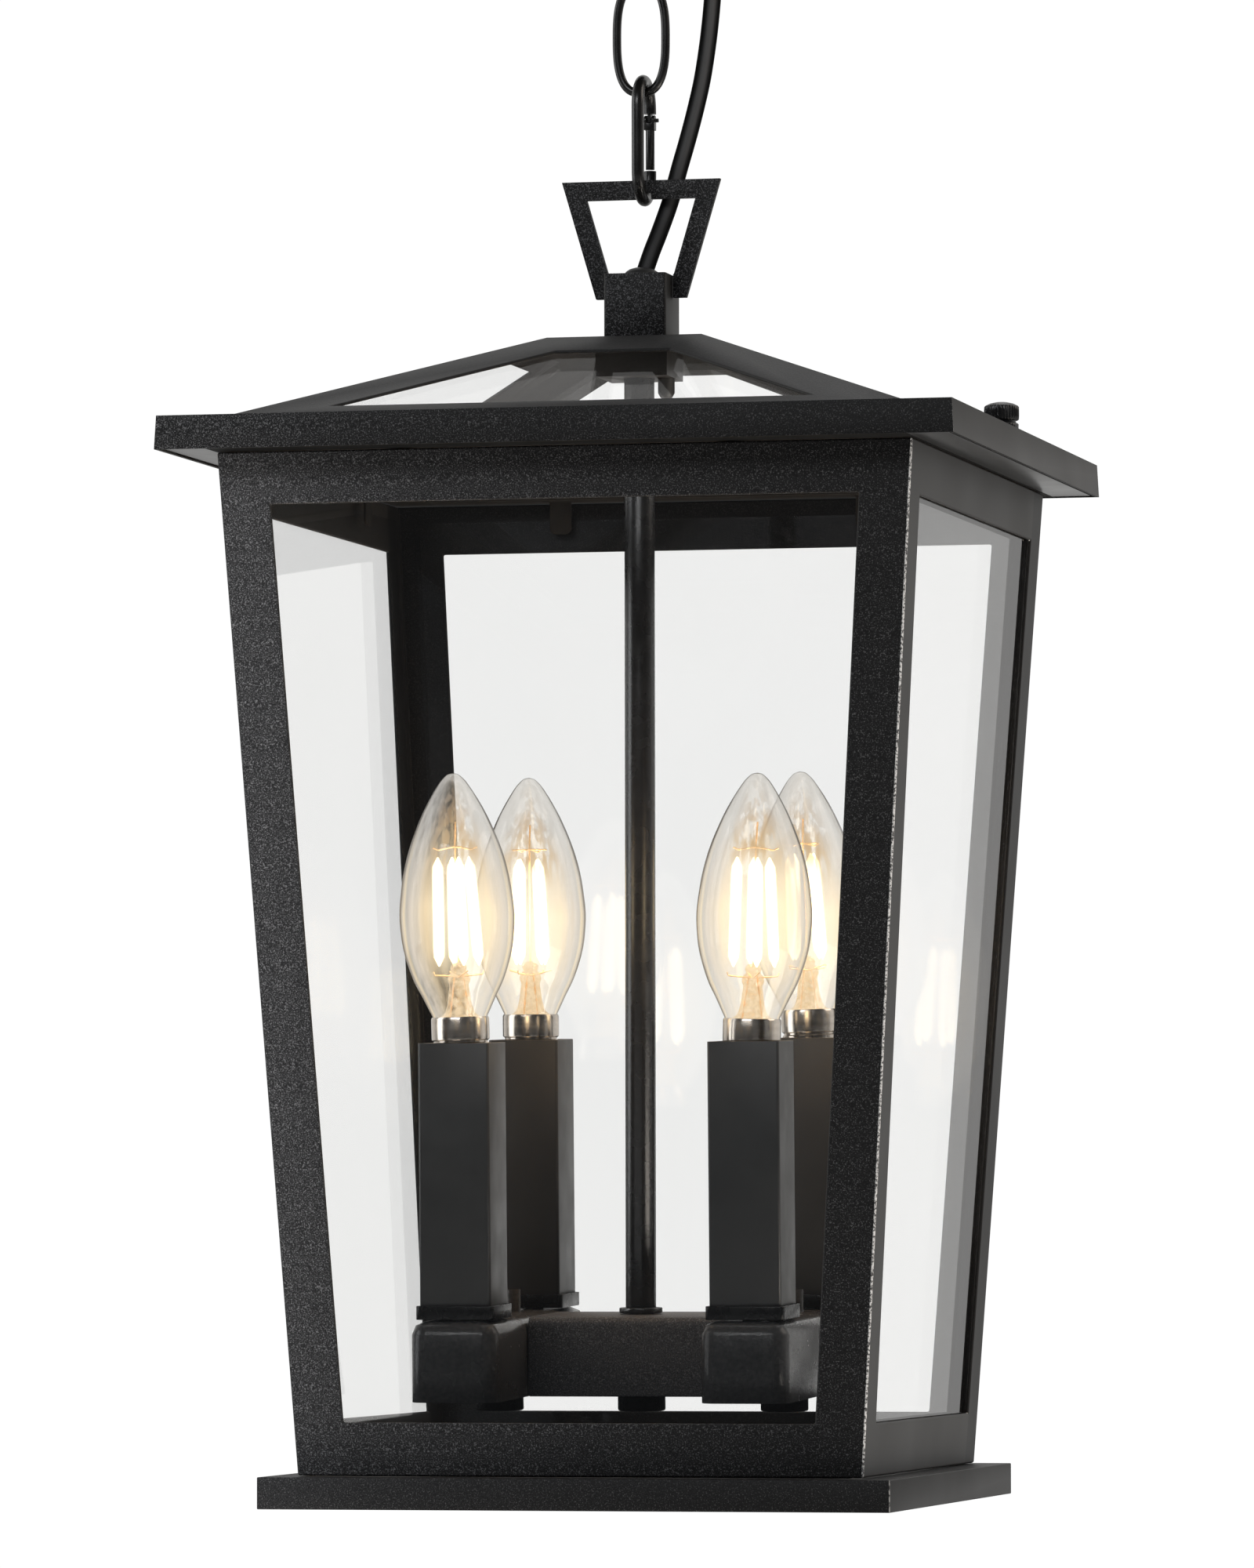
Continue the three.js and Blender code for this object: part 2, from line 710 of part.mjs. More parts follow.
// ---------------------------------------------------------------- rod and lamp cluster
function buildRod() {
  const bottom = clusterTop + 0.9;
  const tube = turned([
    [rodBore, bottom],
    [rodRadius, bottom],
    [rodRadius, rodTop],
    [rodBore, rodTop],
    [rodBore, bottom],
  ], stemX, 0, 20);
  add(lantern, "centre_rod", tube, satinBlack);
  const bracketTop = roofTop - thinSheet - 2 * gap;
  const bracketBottom = bracketTop - bracketDepth;
  const half = 11.2;
  const plate = block([stemX - half, stemX + half], [-half, half], [bracketBottom, bracketTop]);
  const hole = cylinder(rodRadius + gap, [bracketBottom - 1, bracketTop + 1], stemX, 0);
  const studEnd = bracketBottom - earthStudLength;
  const stud = turned([
    [0, studEnd],
    [earthStudRadius * 0.7, studEnd + 0.6],
    [earthStudRadius, studEnd + 2],
    [earthStudRadius, bracketBottom + 1],
    [0, bracketBottom + 1],
  ], stemX + earthStudX, 0, 16);
  add(lantern, "rod_bracket", plate.subtract(hole).add(stud), satinBlack);
  const nut = hexNut(13, rodRadius + gap, [neckBottom, neckBottom + 4], stemX, 0);
  add(lantern, "rod_top_nut", nut, steel);
}

function sideBar() {
  const bar = domedBlock(barHalfWidth, barHalfLength, barRound, [-clusterHeight, 0]);
  const inner = barRound - 1;
  const hollow = domedBlock(barHalfWidth - 1, barHalfLength - 1, inner, [-clusterHeight - 1, -1]);
  let shell = bar.subtract(hollow);
  for (const side of [-1, 1]) {
    shell = shell.subtract(cylinder(3.5, [-3, 2], 0, side * lampY));
  }
  return shell.add(cylinder(postRadius, [-0.5, postTop], 0, postY, 14));
}

function crossbar() {
  const end = lampX - barHalfWidth - gap;
  const arch = (halfDepth, round, z) => {
    const outline = [[-halfDepth, z[0]], [halfDepth, z[0]]];
    const steps = 3;
    for (let i = 0; i <= steps; i += 1) {
      const angle = (i / steps) * (Math.PI / 2);
      outline.push([halfDepth - round + round * Math.cos(angle), z[1] - round + round * Math.sin(angle)]);
    }
    for (let i = 0; i <= steps; i += 1) {
      const angle = Math.PI / 2 + (i / steps) * (Math.PI / 2);
      outline.push([round - halfDepth + round * Math.cos(angle), z[1] - round + round * Math.sin(angle)]);
    }
    return outline;
  };
  const outer = upright(arch(crossbarHalfDepth, 3, [-clusterHeight, 0]), [-end, end]);
  const inner = upright(arch(crossbarHalfDepth - 1, 2, [-clusterHeight - 1, -1]), [-end - 1, end + 1]);
  return outer.subtract(inner).rotate([0, 0, 90]);
}

function lampCup() {
  const z = [0.5, 0.5 + cupHeight];
  const outer = roundedPost(cupHalf, cupHalf, 1.5, z);
  const inner = roundedPost(cupHalf - 0.8, cupHalf - 0.8, 0.9, [z[0] + 0.8, z[1] + 1]);
  return outer.subtract(inner).subtract(cylinder(3.5, [0, 2]));
}

function lampSleeve() {
  const z = [1.6, sleeveTop];
  const outer = roundedPost(sleeveHalf, sleeveHalf, 1, z);
  const hollow = sleeveHalf - 1;
  return outer.subtract(block([-hollow, hollow], [-hollow, hollow], [z[0] - 1, z[1] + 1]));
}

function lampSocket() {
  return turned([
    [0, -8],
    [3.1, -8],
    [3.1, 2],
    [9.3, 2],
    [9.3, socketTop],
    [6.6, socketTop],
    [6.6, 60],
    [0, 60],
  ]);
}

// Outer shape of a 35 mm candle lamp: screw cap, skirt, and the glass drawn to a tip.
function bulbShape() {
  const cap = 5.95;
  const profile = [
    [0, 63],
    [3, 63.2],
    [cap, 66],
    [cap, 81.4],
    [skirtRadius, 81.8],
    [skirtRadius, skirtTop],
  ];
  const glass = [
    [11.0, 97.1],
    [15.1, 106.7],
    [17.0, 115.7],
    [bulbRadius, 122.4],
    [16.6, 130],
    [14.7, 139.2],
    [11.3, 148.7],
    [8.2, 155.4],
    [4.2, 161.7],
    [1.8, 164.2],
    [0, bulbTop],
  ];
  return turned([...profile, ...glass], 0, 0, 16);
}

// The lamp leans to the right by a few degrees and sits higher or lower by its lift.
function seatedBulb({ lean, lift }) {
  return bulbShape().translate([0, 0, -bulbPivot]).rotate([0, lean, 0]).translate([0, 0, bulbPivot + lift]);
}

function buildLamps(cluster) {
  const cup = lampCup();
  const sleeve = lampSleeve();
  const socket = lampSocket();
  for (const [depth, y] of [["front", -lampY], ["back", lampY]]) {
    for (const [side, x] of [["left", -lampX], ["right", lampX]]) {
      const place = [x, y, 0];
      const name = `${depth}_${side}`;
      add(cluster, `${name}_cup`, cup.translate(place), glossBlack);
      add(cluster, `${name}_sleeve`, sleeve.translate(place), satinBlack);
      add(cluster, `${name}_socket`, socket.translate(place), porcelain);
      add(cluster, `${name}_bulb`, seatedBulb(bulbSeats[name]).translate(place), clearGlass);
    }
  }
}

function buildCluster() {
  const cluster = new THREE.Group();
  cluster.position.set(stemX, 0, clusterTop);
  cluster.rotation.x = clusterTilt;
  lantern.add(cluster);
  const flange = cylinder(6.6, [gap, 2]).subtract(cylinder(rodRadius + 0.5, [-1, 3]));
  add(cluster, "rod_flange", flange, satinBlack);
  add(cluster, "crossbar", crossbar(), powder);
  add(cluster, "side_bar_left", sideBar().translate([-lampX, 0, 0]), glossBlack);
  add(cluster, "side_bar_right", sideBar().translate([lampX, 0, 0]), glossBlack);
  for (const [name, x] of [["left", -lampX], ["centre", 0], ["right", lampX]]) {
    const body = cylinder(couplingRadius, [couplingBottom, -1 - 2 * gap], x, 0);
    add(cluster, `coupling_${name}`, body, glossBlack);
  }
  buildLamps(cluster);
}

buildCeilingFitting();
buildSuspension();
buildHead();
buildCage();
buildRod();
buildCluster();
lantern.position.z = -ceiling;

export default lantern;
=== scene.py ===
# Hanging lantern: looks. Metres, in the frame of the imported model: Z = 0 is the ceiling.
import math

import bmesh
import bpy
from mathutils import Matrix, Vector


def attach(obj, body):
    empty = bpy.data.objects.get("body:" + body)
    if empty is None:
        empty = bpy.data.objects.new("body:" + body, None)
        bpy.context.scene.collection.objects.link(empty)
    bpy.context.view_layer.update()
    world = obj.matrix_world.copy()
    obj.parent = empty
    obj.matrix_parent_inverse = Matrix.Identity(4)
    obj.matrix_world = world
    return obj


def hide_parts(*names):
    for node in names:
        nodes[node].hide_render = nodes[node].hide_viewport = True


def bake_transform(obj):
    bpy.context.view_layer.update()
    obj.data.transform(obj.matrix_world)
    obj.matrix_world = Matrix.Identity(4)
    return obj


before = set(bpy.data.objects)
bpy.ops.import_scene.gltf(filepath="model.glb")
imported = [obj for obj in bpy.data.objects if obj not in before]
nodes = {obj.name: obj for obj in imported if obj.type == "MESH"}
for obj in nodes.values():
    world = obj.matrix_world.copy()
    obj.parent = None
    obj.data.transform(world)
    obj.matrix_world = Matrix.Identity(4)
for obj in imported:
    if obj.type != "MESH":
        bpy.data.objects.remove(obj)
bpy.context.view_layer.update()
scene = bpy.context.scene
scene.view_settings.view_transform = "Standard"

MM = 0.001
CEILING = 513.0
SIDES = ("front", "right", "back", "left")
LAMPS = (("front_left", -1, -1), ("front_right", 1, -1), ("back_left", -1, 1), ("back_right", 1, 1))
# Each lamp's lean in degrees, its lift in millimetres and how far it is screwed round, in radians.
LAMP_SEATS = {
    "front_left": (-1.3, 0.0, 0.25),
    "front_right": (1.8, -1.1, 0.1),
    "back_left": (0.0, 0.0, 1.0),
    "back_right": (-1.7, 0.9, 0.7),
}


def at(x, y, height):
    """A point given in millimetres, with its height above the lantern's underside."""
    return Vector((x * MM, y * MM, (height - CEILING) * MM))


# ------------------------------------------------------------------ camera
def make_camera():
    azimuth, elevation, roll = math.radians(13.11), math.radians(-2.834), math.radians(-0.099)
    back = Vector((
        math.sin(azimuth) * math.cos(elevation),
        -math.cos(azimuth) * math.cos(elevation),
        math.sin(elevation),
    ))
    right = (-back).cross(Vector((0, 0, 1))).normalized()
    up = right.cross(-back)
    x_axis = math.cos(roll) * right + math.sin(roll) * up
    y_axis = -math.sin(roll) * right + math.cos(roll) * up
    data = bpy.data.cameras.new("camera")
    data.lens = 204.5
    data.sensor_width = 36
    data.clip_end = 60
    camera = bpy.data.objects.new("camera", data)
    turn = Matrix((x_axis, y_axis, back)).transposed()
    camera.matrix_world = Matrix.Translation(at(611.9, -2648.4, 84)) @ turn.to_4x4()
    scene.collection.objects.link(camera)
    scene.camera = camera


make_camera()


# ------------------------------------------------------------------ mesh helpers
def link(name, mesh, body, material, stands_for=()):
    piece = bpy.data.objects.new(name, mesh)
    scene.collection.objects.link(piece)
    mesh.materials.clear()
    mesh.materials.append(material)
    mesh.shade_smooth()
    mesh.set_sharp_from_angle(angle=math.radians(40))
    if body:
        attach(piece, body)
    if stands_for:
        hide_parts(*stands_for)
    return piece


def mesh_from(name, points, faces):
    mesh = bpy.data.meshes.new(name)
    mesh.from_pydata([tuple(p) for p in points], [], faces)
    work = bmesh.new()
    work.from_mesh(mesh)
    bmesh.ops.remove_doubles(work, verts=work.verts, dist=1e-7)
    bmesh.ops.recalc_face_normals(work, faces=work.faces)
    work.to_mesh(mesh)
    work.free()
    return mesh


def join(name, *meshes):
    work = bmesh.new()
    for mesh in meshes:
        work.from_mesh(mesh)
    joined = bpy.data.meshes.new(name)
    work.to_mesh(joined)
    work.free()
    return joined


def mesh_box(x, y, heights):
    points = [at(a, b, c) for a in x for b in y for c in heights]
    faces = [(0, 1, 3, 2), (4, 6, 7, 5), (0, 4, 5, 1), (2, 3, 7, 6), (0, 2, 6, 4), (1, 5, 7, 3)]
    return mesh_from("box", points, faces)


def angles_round(sides):
    return [2 * math.pi * j / sides for j in range(sides)]


def ring_faces(rings, sides, closed=False):
    """Faces between rings of points, and from the last ring to the first if it is closed."""
    faces = []
    for i in range(rings if closed else rings - 1):
        a, b = i * sides, ((i + 1) % rings) * sides
        for j in range(sides):
            k = (j + 1) % sides
            faces.append((a + j, a + k, b + k, b + j))
    return faces


def end_faces(rings, sides):
    """The two flat ends of an open tube."""
    return [tuple(range(sides)), tuple(range((rings - 1) * sides, rings * sides))]


def lathe(name, profile, sides=48):
    """A solid of revolution about Z from (radius, height) in metres, whose ends are on the axis."""
    points = [
        (radius * math.cos(angle), radius * math.sin(angle), height)
        for radius, height in profile for angle in angles_round(sides)
    ]
    return mesh_from(name, points, ring_faces(len(profile), sides))


def tube(name, path, radius, sides=16, closed=False):
    """A round wire along a list of points. An open one has flat ends."""
    points = []
    count = len(path)
    normal = None
    for i, p in enumerate(path):
        before = path[(i - 1) % count] if closed or i > 0 else p
        after = path[(i + 1) % count] if closed or i < count - 1 else p
        tangent = (after - before).normalized()
        if normal is None:
            guide = Vector((0, 1, 0)) if abs(tangent.y) < 0.8 else Vector((1, 0, 0))
            normal = tangent.cross(guide).normalized()
        normal = (normal - tangent * normal.dot(tangent)).normalized()
        side = tangent.cross(normal)
        for angle in angles_round(sides):
            points.append(p + radius * (math.cos(angle) * normal + math.sin(angle) * side))
    faces = ring_faces(count, sides, closed)
    return mesh_from(name, points, faces if closed else faces + end_faces(count, sides))


def smooth_route(points, steps):
    """Points along a curve through the given ones."""
    route = []
    last = len(points) - 1
    for i in range(last):
        a, b = points[max(i - 1, 0)], points[i]
        c, d = points[i + 1], points[min(i + 2, last)]
        for k in range(steps):
            t = k / steps
            route.append(0.5 * (
                2 * b + (c - a) * t + (2 * a - 5 * b + 4 * c - d) * t ** 2
                + (3 * b - a - 3 * c + d) * t ** 3
            ))
    route.append(points[-1].copy())
    return route


def smooth_profile(guide, steps):
    """A lathe's profile, in metres, along a curve through (radius, height) in millimetres."""
    route = smooth_route([Vector((radius, 0, height)) for radius, height in guide], steps)
    return [(max(p.x, 0) * MM, p.z * MM) for p in route]


def round_edges(piece, width, angle, segments=2):
    """Rounds every edge sharper than an angle in degrees, to a width in millimetres."""
    bevel = piece.modifiers.new("rounded edges", "BEVEL")
    bevel.width = width * MM
    bevel.segments = segments
    bevel.limit_method = "ANGLE"
    bevel.angle_limit = math.radians(angle)
    bevel.harden_normals = True


# ------------------------------------------------------------------ materials
CORNER_FROM = 0.082  # the painted corner highlights lie to the right of this
FLANGE_SHINES_FROM = 0.106  # the flange's ends stick out of the cage beyond this


class Nodes:
    """The nodes of a material or a world, with helpers for procedural detail."""

    def __init__(self, owner):
        owner.use_nodes = True
        self.material = owner
        self.tree = owner.node_tree
        self.place = self.add("TexCoord").outputs

    def feed(self, socket, value):
        """Sets a socket to a value, or links it to another node's output."""
        if isinstance(value, bpy.types.NodeSocket):
            self.tree.links.new(value, socket)
        else:
            socket.default_value = value

    def add(self, kind, inputs=None):
        node = self.tree.nodes.new("ShaderNode" + kind)
        for socket, value in (inputs or {}).items():
            self.feed(node.inputs[socket], value)
        return node

    def noise(self, scale, detail=2.0, stretch=None):
        source = self.place["Object"]
        if stretch:
            source = self.add("Mapping", {"Vector": source, "Scale": stretch}).outputs["Vector"]
        return self.add("TexNoise", {"Vector": source, "Scale": scale, "Detail": detail}).outputs["Fac"]

    def ramp(self, value, stops):
        """A colour from a value, through stops of a position and a colour or a grey tone."""
        node = self.add("ValToRGB", {"Fac": value})
        elements = node.color_ramp.elements
        while len(elements) < len(stops):
            elements.new(0.5)
        for element, (position, colour) in zip(elements, stops):
            element.position = position
            element.color = (*(colour if isinstance(colour, tuple) else (colour,) * 3), 1)
        return node.outputs["Color"]

    def fit(self, value, start, end, low=0.0, high=1.0):
        """Maps start to low and end to high, and holds the value at both."""
        limits = {"From Min": start, "From Max": end, "To Min": low, "To Max": high}
        return self.add("MapRange", {"Value": value, **limits}).outputs["Result"]

    def spread(self, noise, low, high):
        return self.fit(noise, 0.3, 0.7, low, high)

    def maths(self, operation, *values):
        node = self.add("Math")
        node.operation = operation
        for socket, value in zip(node.inputs, values):
            self.feed(socket, value)
        return node.outputs["Value"]

    def mix(self, share, first, second, way="MIX"):
        node = self.add("Mix")
        node.data_type = "RGBA"
        node.blend_type = way
        self.feed(node.inputs["Factor"], share)
        self.feed(node.inputs[6], first)
        self.feed(node.inputs[7], second)
        return node.outputs[2]

    def mix_shaders(self, share, first, second):
        node = self.add("MixShader", {"Fac": share})
        self.feed(node.inputs[1], first)
        self.feed(node.inputs[2], second)
        return node.outputs["Shader"]

    def split(self, vector):
        return self.add("SeparateXYZ", {"Vector": vector}).outputs

    def facing(self):
        """0 where a surface faces the viewer, 1 where it is seen edge on."""
        return self.add("LayerWeight", {"Blend": 0.5}).outputs["Facing"]

    def glow(self, colour, strength):
        return self.add("Emission", {"Color": colour, "Strength": strength}).outputs["Emission"]

    def bump(self, *layers):
        """A normal from layers of a height, a distance and a strength."""
        normal = None
        for height, distance, strength in layers:
            node = self.add("Bump", {"Height": height, "Distance": distance, "Strength": strength})
            if normal:
                self.feed(node.inputs["Normal"], normal)
            normal = node.outputs["Normal"]
        return normal

    def show(self, shader, output="Material Output"):
        self.feed(self.tree.nodes[output].inputs["Surface"], shader)


class Paint(Nodes):
    """A Principled material. Its first colour and roughness are those without its detail."""

    def __init__(self, name, colour, roughness, metallic=0.0):
        super().__init__(bpy.data.materials.new(name))
        self.shader = self.tree.nodes["Principled BSDF"]
        self.set("Base Color", (*colour, 1))
        self.set("Roughness", roughness)
        self.set("Metallic", metallic)

    def set(self, socket, value):
        self.feed(self.shader.inputs[socket], value)

    def own_normal(self):
        """The flat normal, split in the part's own axes, so that the look turns with the part."""
        turn = self.add("VectorTransform", {"Vector": self.add("NewGeometry").outputs["True Normal"]})
        turn.vector_type = "NORMAL"
        turn.convert_from = "WORLD"
        turn.convert_to = "OBJECT"
        return self.split(turn.outputs["Vector"])

    def aspects(self):
        """How far a surface faces sideways, and whether it is the rounding of a front right corner."""
        axes = self.own_normal()
        side = self.maths("ABSOLUTE", axes["X"])
        front = self.maths("MULTIPLY", axes["Y"], -1)
        both = self.fit(self.maths("MINIMUM", axes["X"], front), 0.10, 0.28)
        right = self.maths("GREATER_THAN", self.split(self.place["Object"])["X"], CORNER_FROM)
        return side, self.maths("MULTIPLY", both, right)

    def paint_sheen_falloff(self, colour):
        """Darkens a colour from the left of the lantern to its right: a painted sheen, brightest at the left
        where the front faces catch the light.
        """
        across = self.fit(self.split(self.place["Object"])["X"], -0.12, 0.12)
        share = self.ramp(across, (
            (0.0, 1.0), (0.12, 0.85), (0.22, 0.52), (0.35, 0.36),
            (0.5, 0.24), (0.65, 0.17), (0.8, 0.12), (1.0, 0.10),
        ))
        return self.mix(1.0, colour, share, "MULTIPLY")


def tinted(tone, share, blue):
    return (tone * share, tone * share, tone * blue)


def powder_coat(name, glint_tone, tooth, base, flank=1.0, corner_highlight=0.0, painted_sheen=False):
    """Textured powder coat: a pebbled tooth with fine pale specks, which are painted glints and give way
    to a smoother coat on faces that look sideways.

    Flank scales that smoother coat of sideways faces; below one it is painted shade. Corner highlight
    is the tone of a painted highlight along the front right corners, and painted sheen lets the specks
    thin out from left to right, a painted sheen that is brightest at the left.
    """
    p = Paint(name, (base, base, base), 0.55)
    grain = p.noise(2600)
    # The pale specks are painted glints off the pebbled coat.
    plain = p.ramp(grain, (
        (0.40, tinted(base, 0.5, 0.53)),
        (0.49, tinted(base, 1, 1.04)),
        (0.58, tinted(glint_tone, 0.36, 0.37)),
        (0.70, tinted(glint_tone, 1, 1.03)),
    ))
    # The smoother coat of sideways faces, which take no painted glints; flank below one is painted shade.
    smooth = p.ramp(p.noise(70), (
        (0.30, (0.0205 * flank, 0.0197 * flank, 0.0186 * flank)),
        (0.70, (0.0235 * flank, 0.0226 * flank, 0.0213 * flank)),
    ))
    side, corner = p.aspects()
    # Painted sheen that fades from left to right, with a few painted glints kept all across.
    if painted_sheen:
        glints = p.ramp(grain, ((0.58, 0.0), (0.70, 0.03 + 0.07 * glint_tone)))
        plain = p.mix(1.0, p.paint_sheen_falloff(plain), glints, "ADD")
    coat = p.mix(side, plain, smooth)
    # A speckled painted highlight along the rounded front right corners.
    if corner_highlight:
        highlight_specks = p.ramp(p.noise(1500), ((0.40, tinted(corner_highlight, 0.10, 0.10)), (0.56, tinted(corner_highlight, 1, 0.99))))
        coat = p.mix(corner, coat, highlight_specks)
    front = p.maths("SUBTRACT", 1.0, side)
    p.set("Base Color", coat)
    p.set("Roughness", p.spread(p.noise(20), 0.50, 0.56))
    p.set("Normal", p.bump((p.maths("MULTIPLY", p.noise(1500), front), 0.0005, tooth)))
    p.set("Specular IOR Level", 0.22)
    return p.material


def mottled(name, plain, mottle, tones, shine, relief=(), metallic=0.0):
    """A finish of two tones, with a roughness that wanders and a fine relief.

    Plain is the colour and roughness without detail. Mottle holds the settings of a noise. Shine
    holds them too, then the least and greatest roughness, and each relief its distance and strength.
    """
    p = Paint(name, *plain, metallic)
    p.set("Base Color", p.ramp(p.noise(*mottle), tones))
    settings, low, high = shine
    p.set("Roughness", p.spread(p.noise(*settings), low, high))
    layers = [(p.noise(*grain), distance, strength) for grain, distance, strength in relief]
    if layers:
        p.set("Normal", p.bump(*layers))
    return p


def gloss_paint(name="gloss_black", base=0.012, peel=0.05, sheen=0.22, specular=0.35):
    """Gloss black enamel, with orange peel where it covers the drawn bars."""
    p = mottled(
        name, ((base, base, base), sheen), (700,),
        ((0.3, tinted(base, 0.85, 0.87)), (0.7, tinted(base, 1.25, 1.27))),
        ((160,), sheen - 0.03, sheen + 0.06), (((900,), 0.0004, peel),),
    )
    p.set("Specular IOR Level", specular)
    return p.material


def flange_paint():
    """Satin paint that shines only on the flange's underside, left and right of the cage."""
    p = Paint("flange_satin", (0.016, 0.016, 0.016), 0.3)
    level = p.maths("GREATER_THAN", p.maths("ABSOLUTE", p.own_normal()["Z"]), 0.9)
    outward = p.maths("ABSOLUTE", p.split(p.place["Object"])["X"])
    shine = p.maths("MULTIPLY", level, p.maths("GREATER_THAN", outward, FLANGE_SHINES_FROM))
    grain = p.spread(p.noise(60), 0.0, 0.04)
    p.set("Roughness", p.maths("ADD", p.maths("MULTIPLY_ADD", shine, -0.42, 0.70), grain))
    p.set("Specular IOR Level", p.maths("MULTIPLY_ADD", shine, 0.47, 0.03))
    p.set("Base Color", p.ramp(p.noise(90), ((0.3, (0.014, 0.014, 0.0138)), (0.7, (0.019, 0.019, 0.0186)))))
    return p.material


def cord_jacket():
    """A soft black jacket with a painted highlight: pale along the side that faces you, deep black at its
    edges.
    """
    p = Paint("cord_jacket", (0.02, 0.02, 0.02), 0.6)
    # Painted highlight: lighter where the cord faces you.
    p.set("Base Color", p.ramp(p.facing(), (
        (0.02, (0.105, 0.105, 0.106)),
        (0.14, (0.030, 0.030, 0.0305)),
        (0.34, (0.002, 0.002, 0.002)),
    )))
    p.set("Roughness", p.spread(p.noise(200), 0.52, 0.64))
    p.set("Normal", p.bump((p.noise(900), 0.00003, 0.04)))
    p.set("Specular IOR Level", 0.025)
    return p.material


def lead_wire():
    """Bright wire, with a faint painted glow for the filaments' light beside it."""
    p = mottled(
        "lead_wire", ((0.85, 0.62, 0.38), 0.35), (900,),
        ((0.3, (0.70, 0.50, 0.30)), (0.7, (0.95, 0.72, 0.46))), ((900,), 0.3, 0.45), metallic=0.6,
    )
    # Painted glow: the filaments' light on the wire.
    p.set("Emission Color", (1.0, 0.55, 0.22, 1))
    p.set("Emission Strength", 0.25)
    return p.material


class Glass(Nodes):
    """Clear glass: see-through, with a mirror that grows from its head-on to its edge-on share."""

    def __init__(self, name, tint, head_on, edge_on=1.0):
        super().__init__(bpy.data.materials.new(name))
        self.tree.nodes.remove(self.tree.nodes["Principled BSDF"])
        self.clear = self.add("BsdfTransparent", {"Color": (*tint, 1)})
        self.mirror = self.add("BsdfAnisotropic", {"Roughness": 0.0, "Color": (1, 1, 1, 1)})
        edge = self.maths("POWER", self.facing(), 5)
        share = self.maths("MULTIPLY_ADD", edge, edge_on - head_on, head_on)
        self.shader = self.mix_shaders(share, self.clear.outputs["BSDF"], self.mirror.outputs["BSDF"])
        self.show(self.shader)

    def light_up(self, share, light):
        """Lays a share of light over the glass."""
        self.show(self.mix_shaders(share, self.shader, light))
        return self.material


def pane_glass(name="pane_glass", edge_on=0.58):
    """Float glass, with a trace of unevenness in its tint."""
    g = Glass(name, (0.99, 0.992, 0.99), 0.04, edge_on)
    tint = g.ramp(g.noise(9), ((0.3, (0.988, 0.989, 0.986)), (0.7, (0.996, 0.996, 0.994))))
    g.feed(g.clear.inputs["Color"], tint)
    return g.material


def bulb_glass():
    """Blown glass round a lit filament: clear towards you, milky and creased with light at the sides, all of
    it painted glow and painted reflection of the filaments' light.
    """
    g = Glass("bulb_glass", (0.985, 0.975, 0.955), 0.05)
    facing = g.facing()
    height = g.split(g.place["Object"])["Z"]
    # Colours of the painted glow, dark at the outline where the glass is seen edge on, a painted reflection
    # too.
    upper = g.ramp(facing, (
        (0.00, (0.50, 0.36, 0.20)), (0.22, (0.46, 0.43, 0.39)), (0.40, (0.51, 0.49, 0.46)),
        (0.58, (0.47, 0.45, 0.42)), (0.68, (0.42, 0.40, 0.37)), (0.76, (0.09, 0.08, 0.07)),
        (1.00, (0.07, 0.06, 0.05)),
    ))
    lower = g.ramp(facing, (
        (0.00, (1.00, 0.88, 0.64)), (0.16, (1.00, 0.80, 0.52)), (0.28, (0.70, 0.60, 0.46)),
        (0.42, (0.64, 0.57, 0.48)), (0.54, (0.52, 0.48, 0.42)), (0.62, (0.74, 0.62, 0.43)),
        (0.72, (0.50, 0.43, 0.34)), (0.80, (0.21, 0.18, 0.14)), (1.00, (0.14, 0.11, 0.08)),
    ))
    tone = g.mix(g.fit(height, -0.334, -0.306), lower, upper)
    # Painted haze: the glow grows towards the sides.
    painted_haze = g.ramp(facing, (
        (0.00, 0.05), (0.16, 0.10), (0.24, 0.34), (0.36, 0.46), (0.62, 0.50), (0.78, 0.72),
    ))
    streak = g.noise(380, stretch=(1, 1, 0.04))
    share = g.maths("MULTIPLY", painted_haze, g.fit(streak, 0.35, 0.65, 0.55, 1.25))
    # The halo round the filaments.
    bloom = g.ramp(g.fit(height, -0.357, -0.307), (
        (0.0, 0.0), (0.22, 0.32), (0.5, 0.44), (0.75, 0.26), (1.0, 0.0),
    ))
    near = g.ramp(facing, ((0.0, 1.0), (0.16, 0.95), (0.30, 0.50), (0.60, 0.42), (0.80, 0.2)))
    halo = g.maths("MULTIPLY", bloom, near)
    # Painted amber reflections of the filaments, in streaks above them.
    above = g.ramp(g.fit(height, -0.325, -0.290), ((0.0, 0.0), (0.25, 1.0), (0.6, 0.8), (1.0, 0.0)))
    inner = g.ramp(facing, ((0.08, 1.0), (0.30, 0.0)))
    reflection_streak = g.ramp(streak, ((0.47, 0.0), (0.57, 0.6)))
    amber_reflection = g.maths("MULTIPLY", g.maths("MULTIPLY", above, inner), reflection_streak)
    warm = g.mix(amber_reflection, tone, (0.40, 0.23, 0.08, 1))
    total = g.maths("ADD", g.maths("ADD", share, halo), amber_reflection)
    return g.light_up(total, g.glow(warm, 1.38))


def stem_glass():
    """The thick pressed stem under the filaments, rippled, with a painted amber glow for their light in it.
    """
    g = Glass("stem_glass", (0.98, 0.86, 0.70), 0.10)
    ripple = g.noise(420)
    g.feed(g.mirror.inputs["Normal"], g.bump((ripple, 0.0006, 0.7)))
    return g.light_up(g.fit(ripple, 0.38, 0.62, 0.05, 0.75), g.glow((1.0, 0.78, 0.50, 1), 1.0))


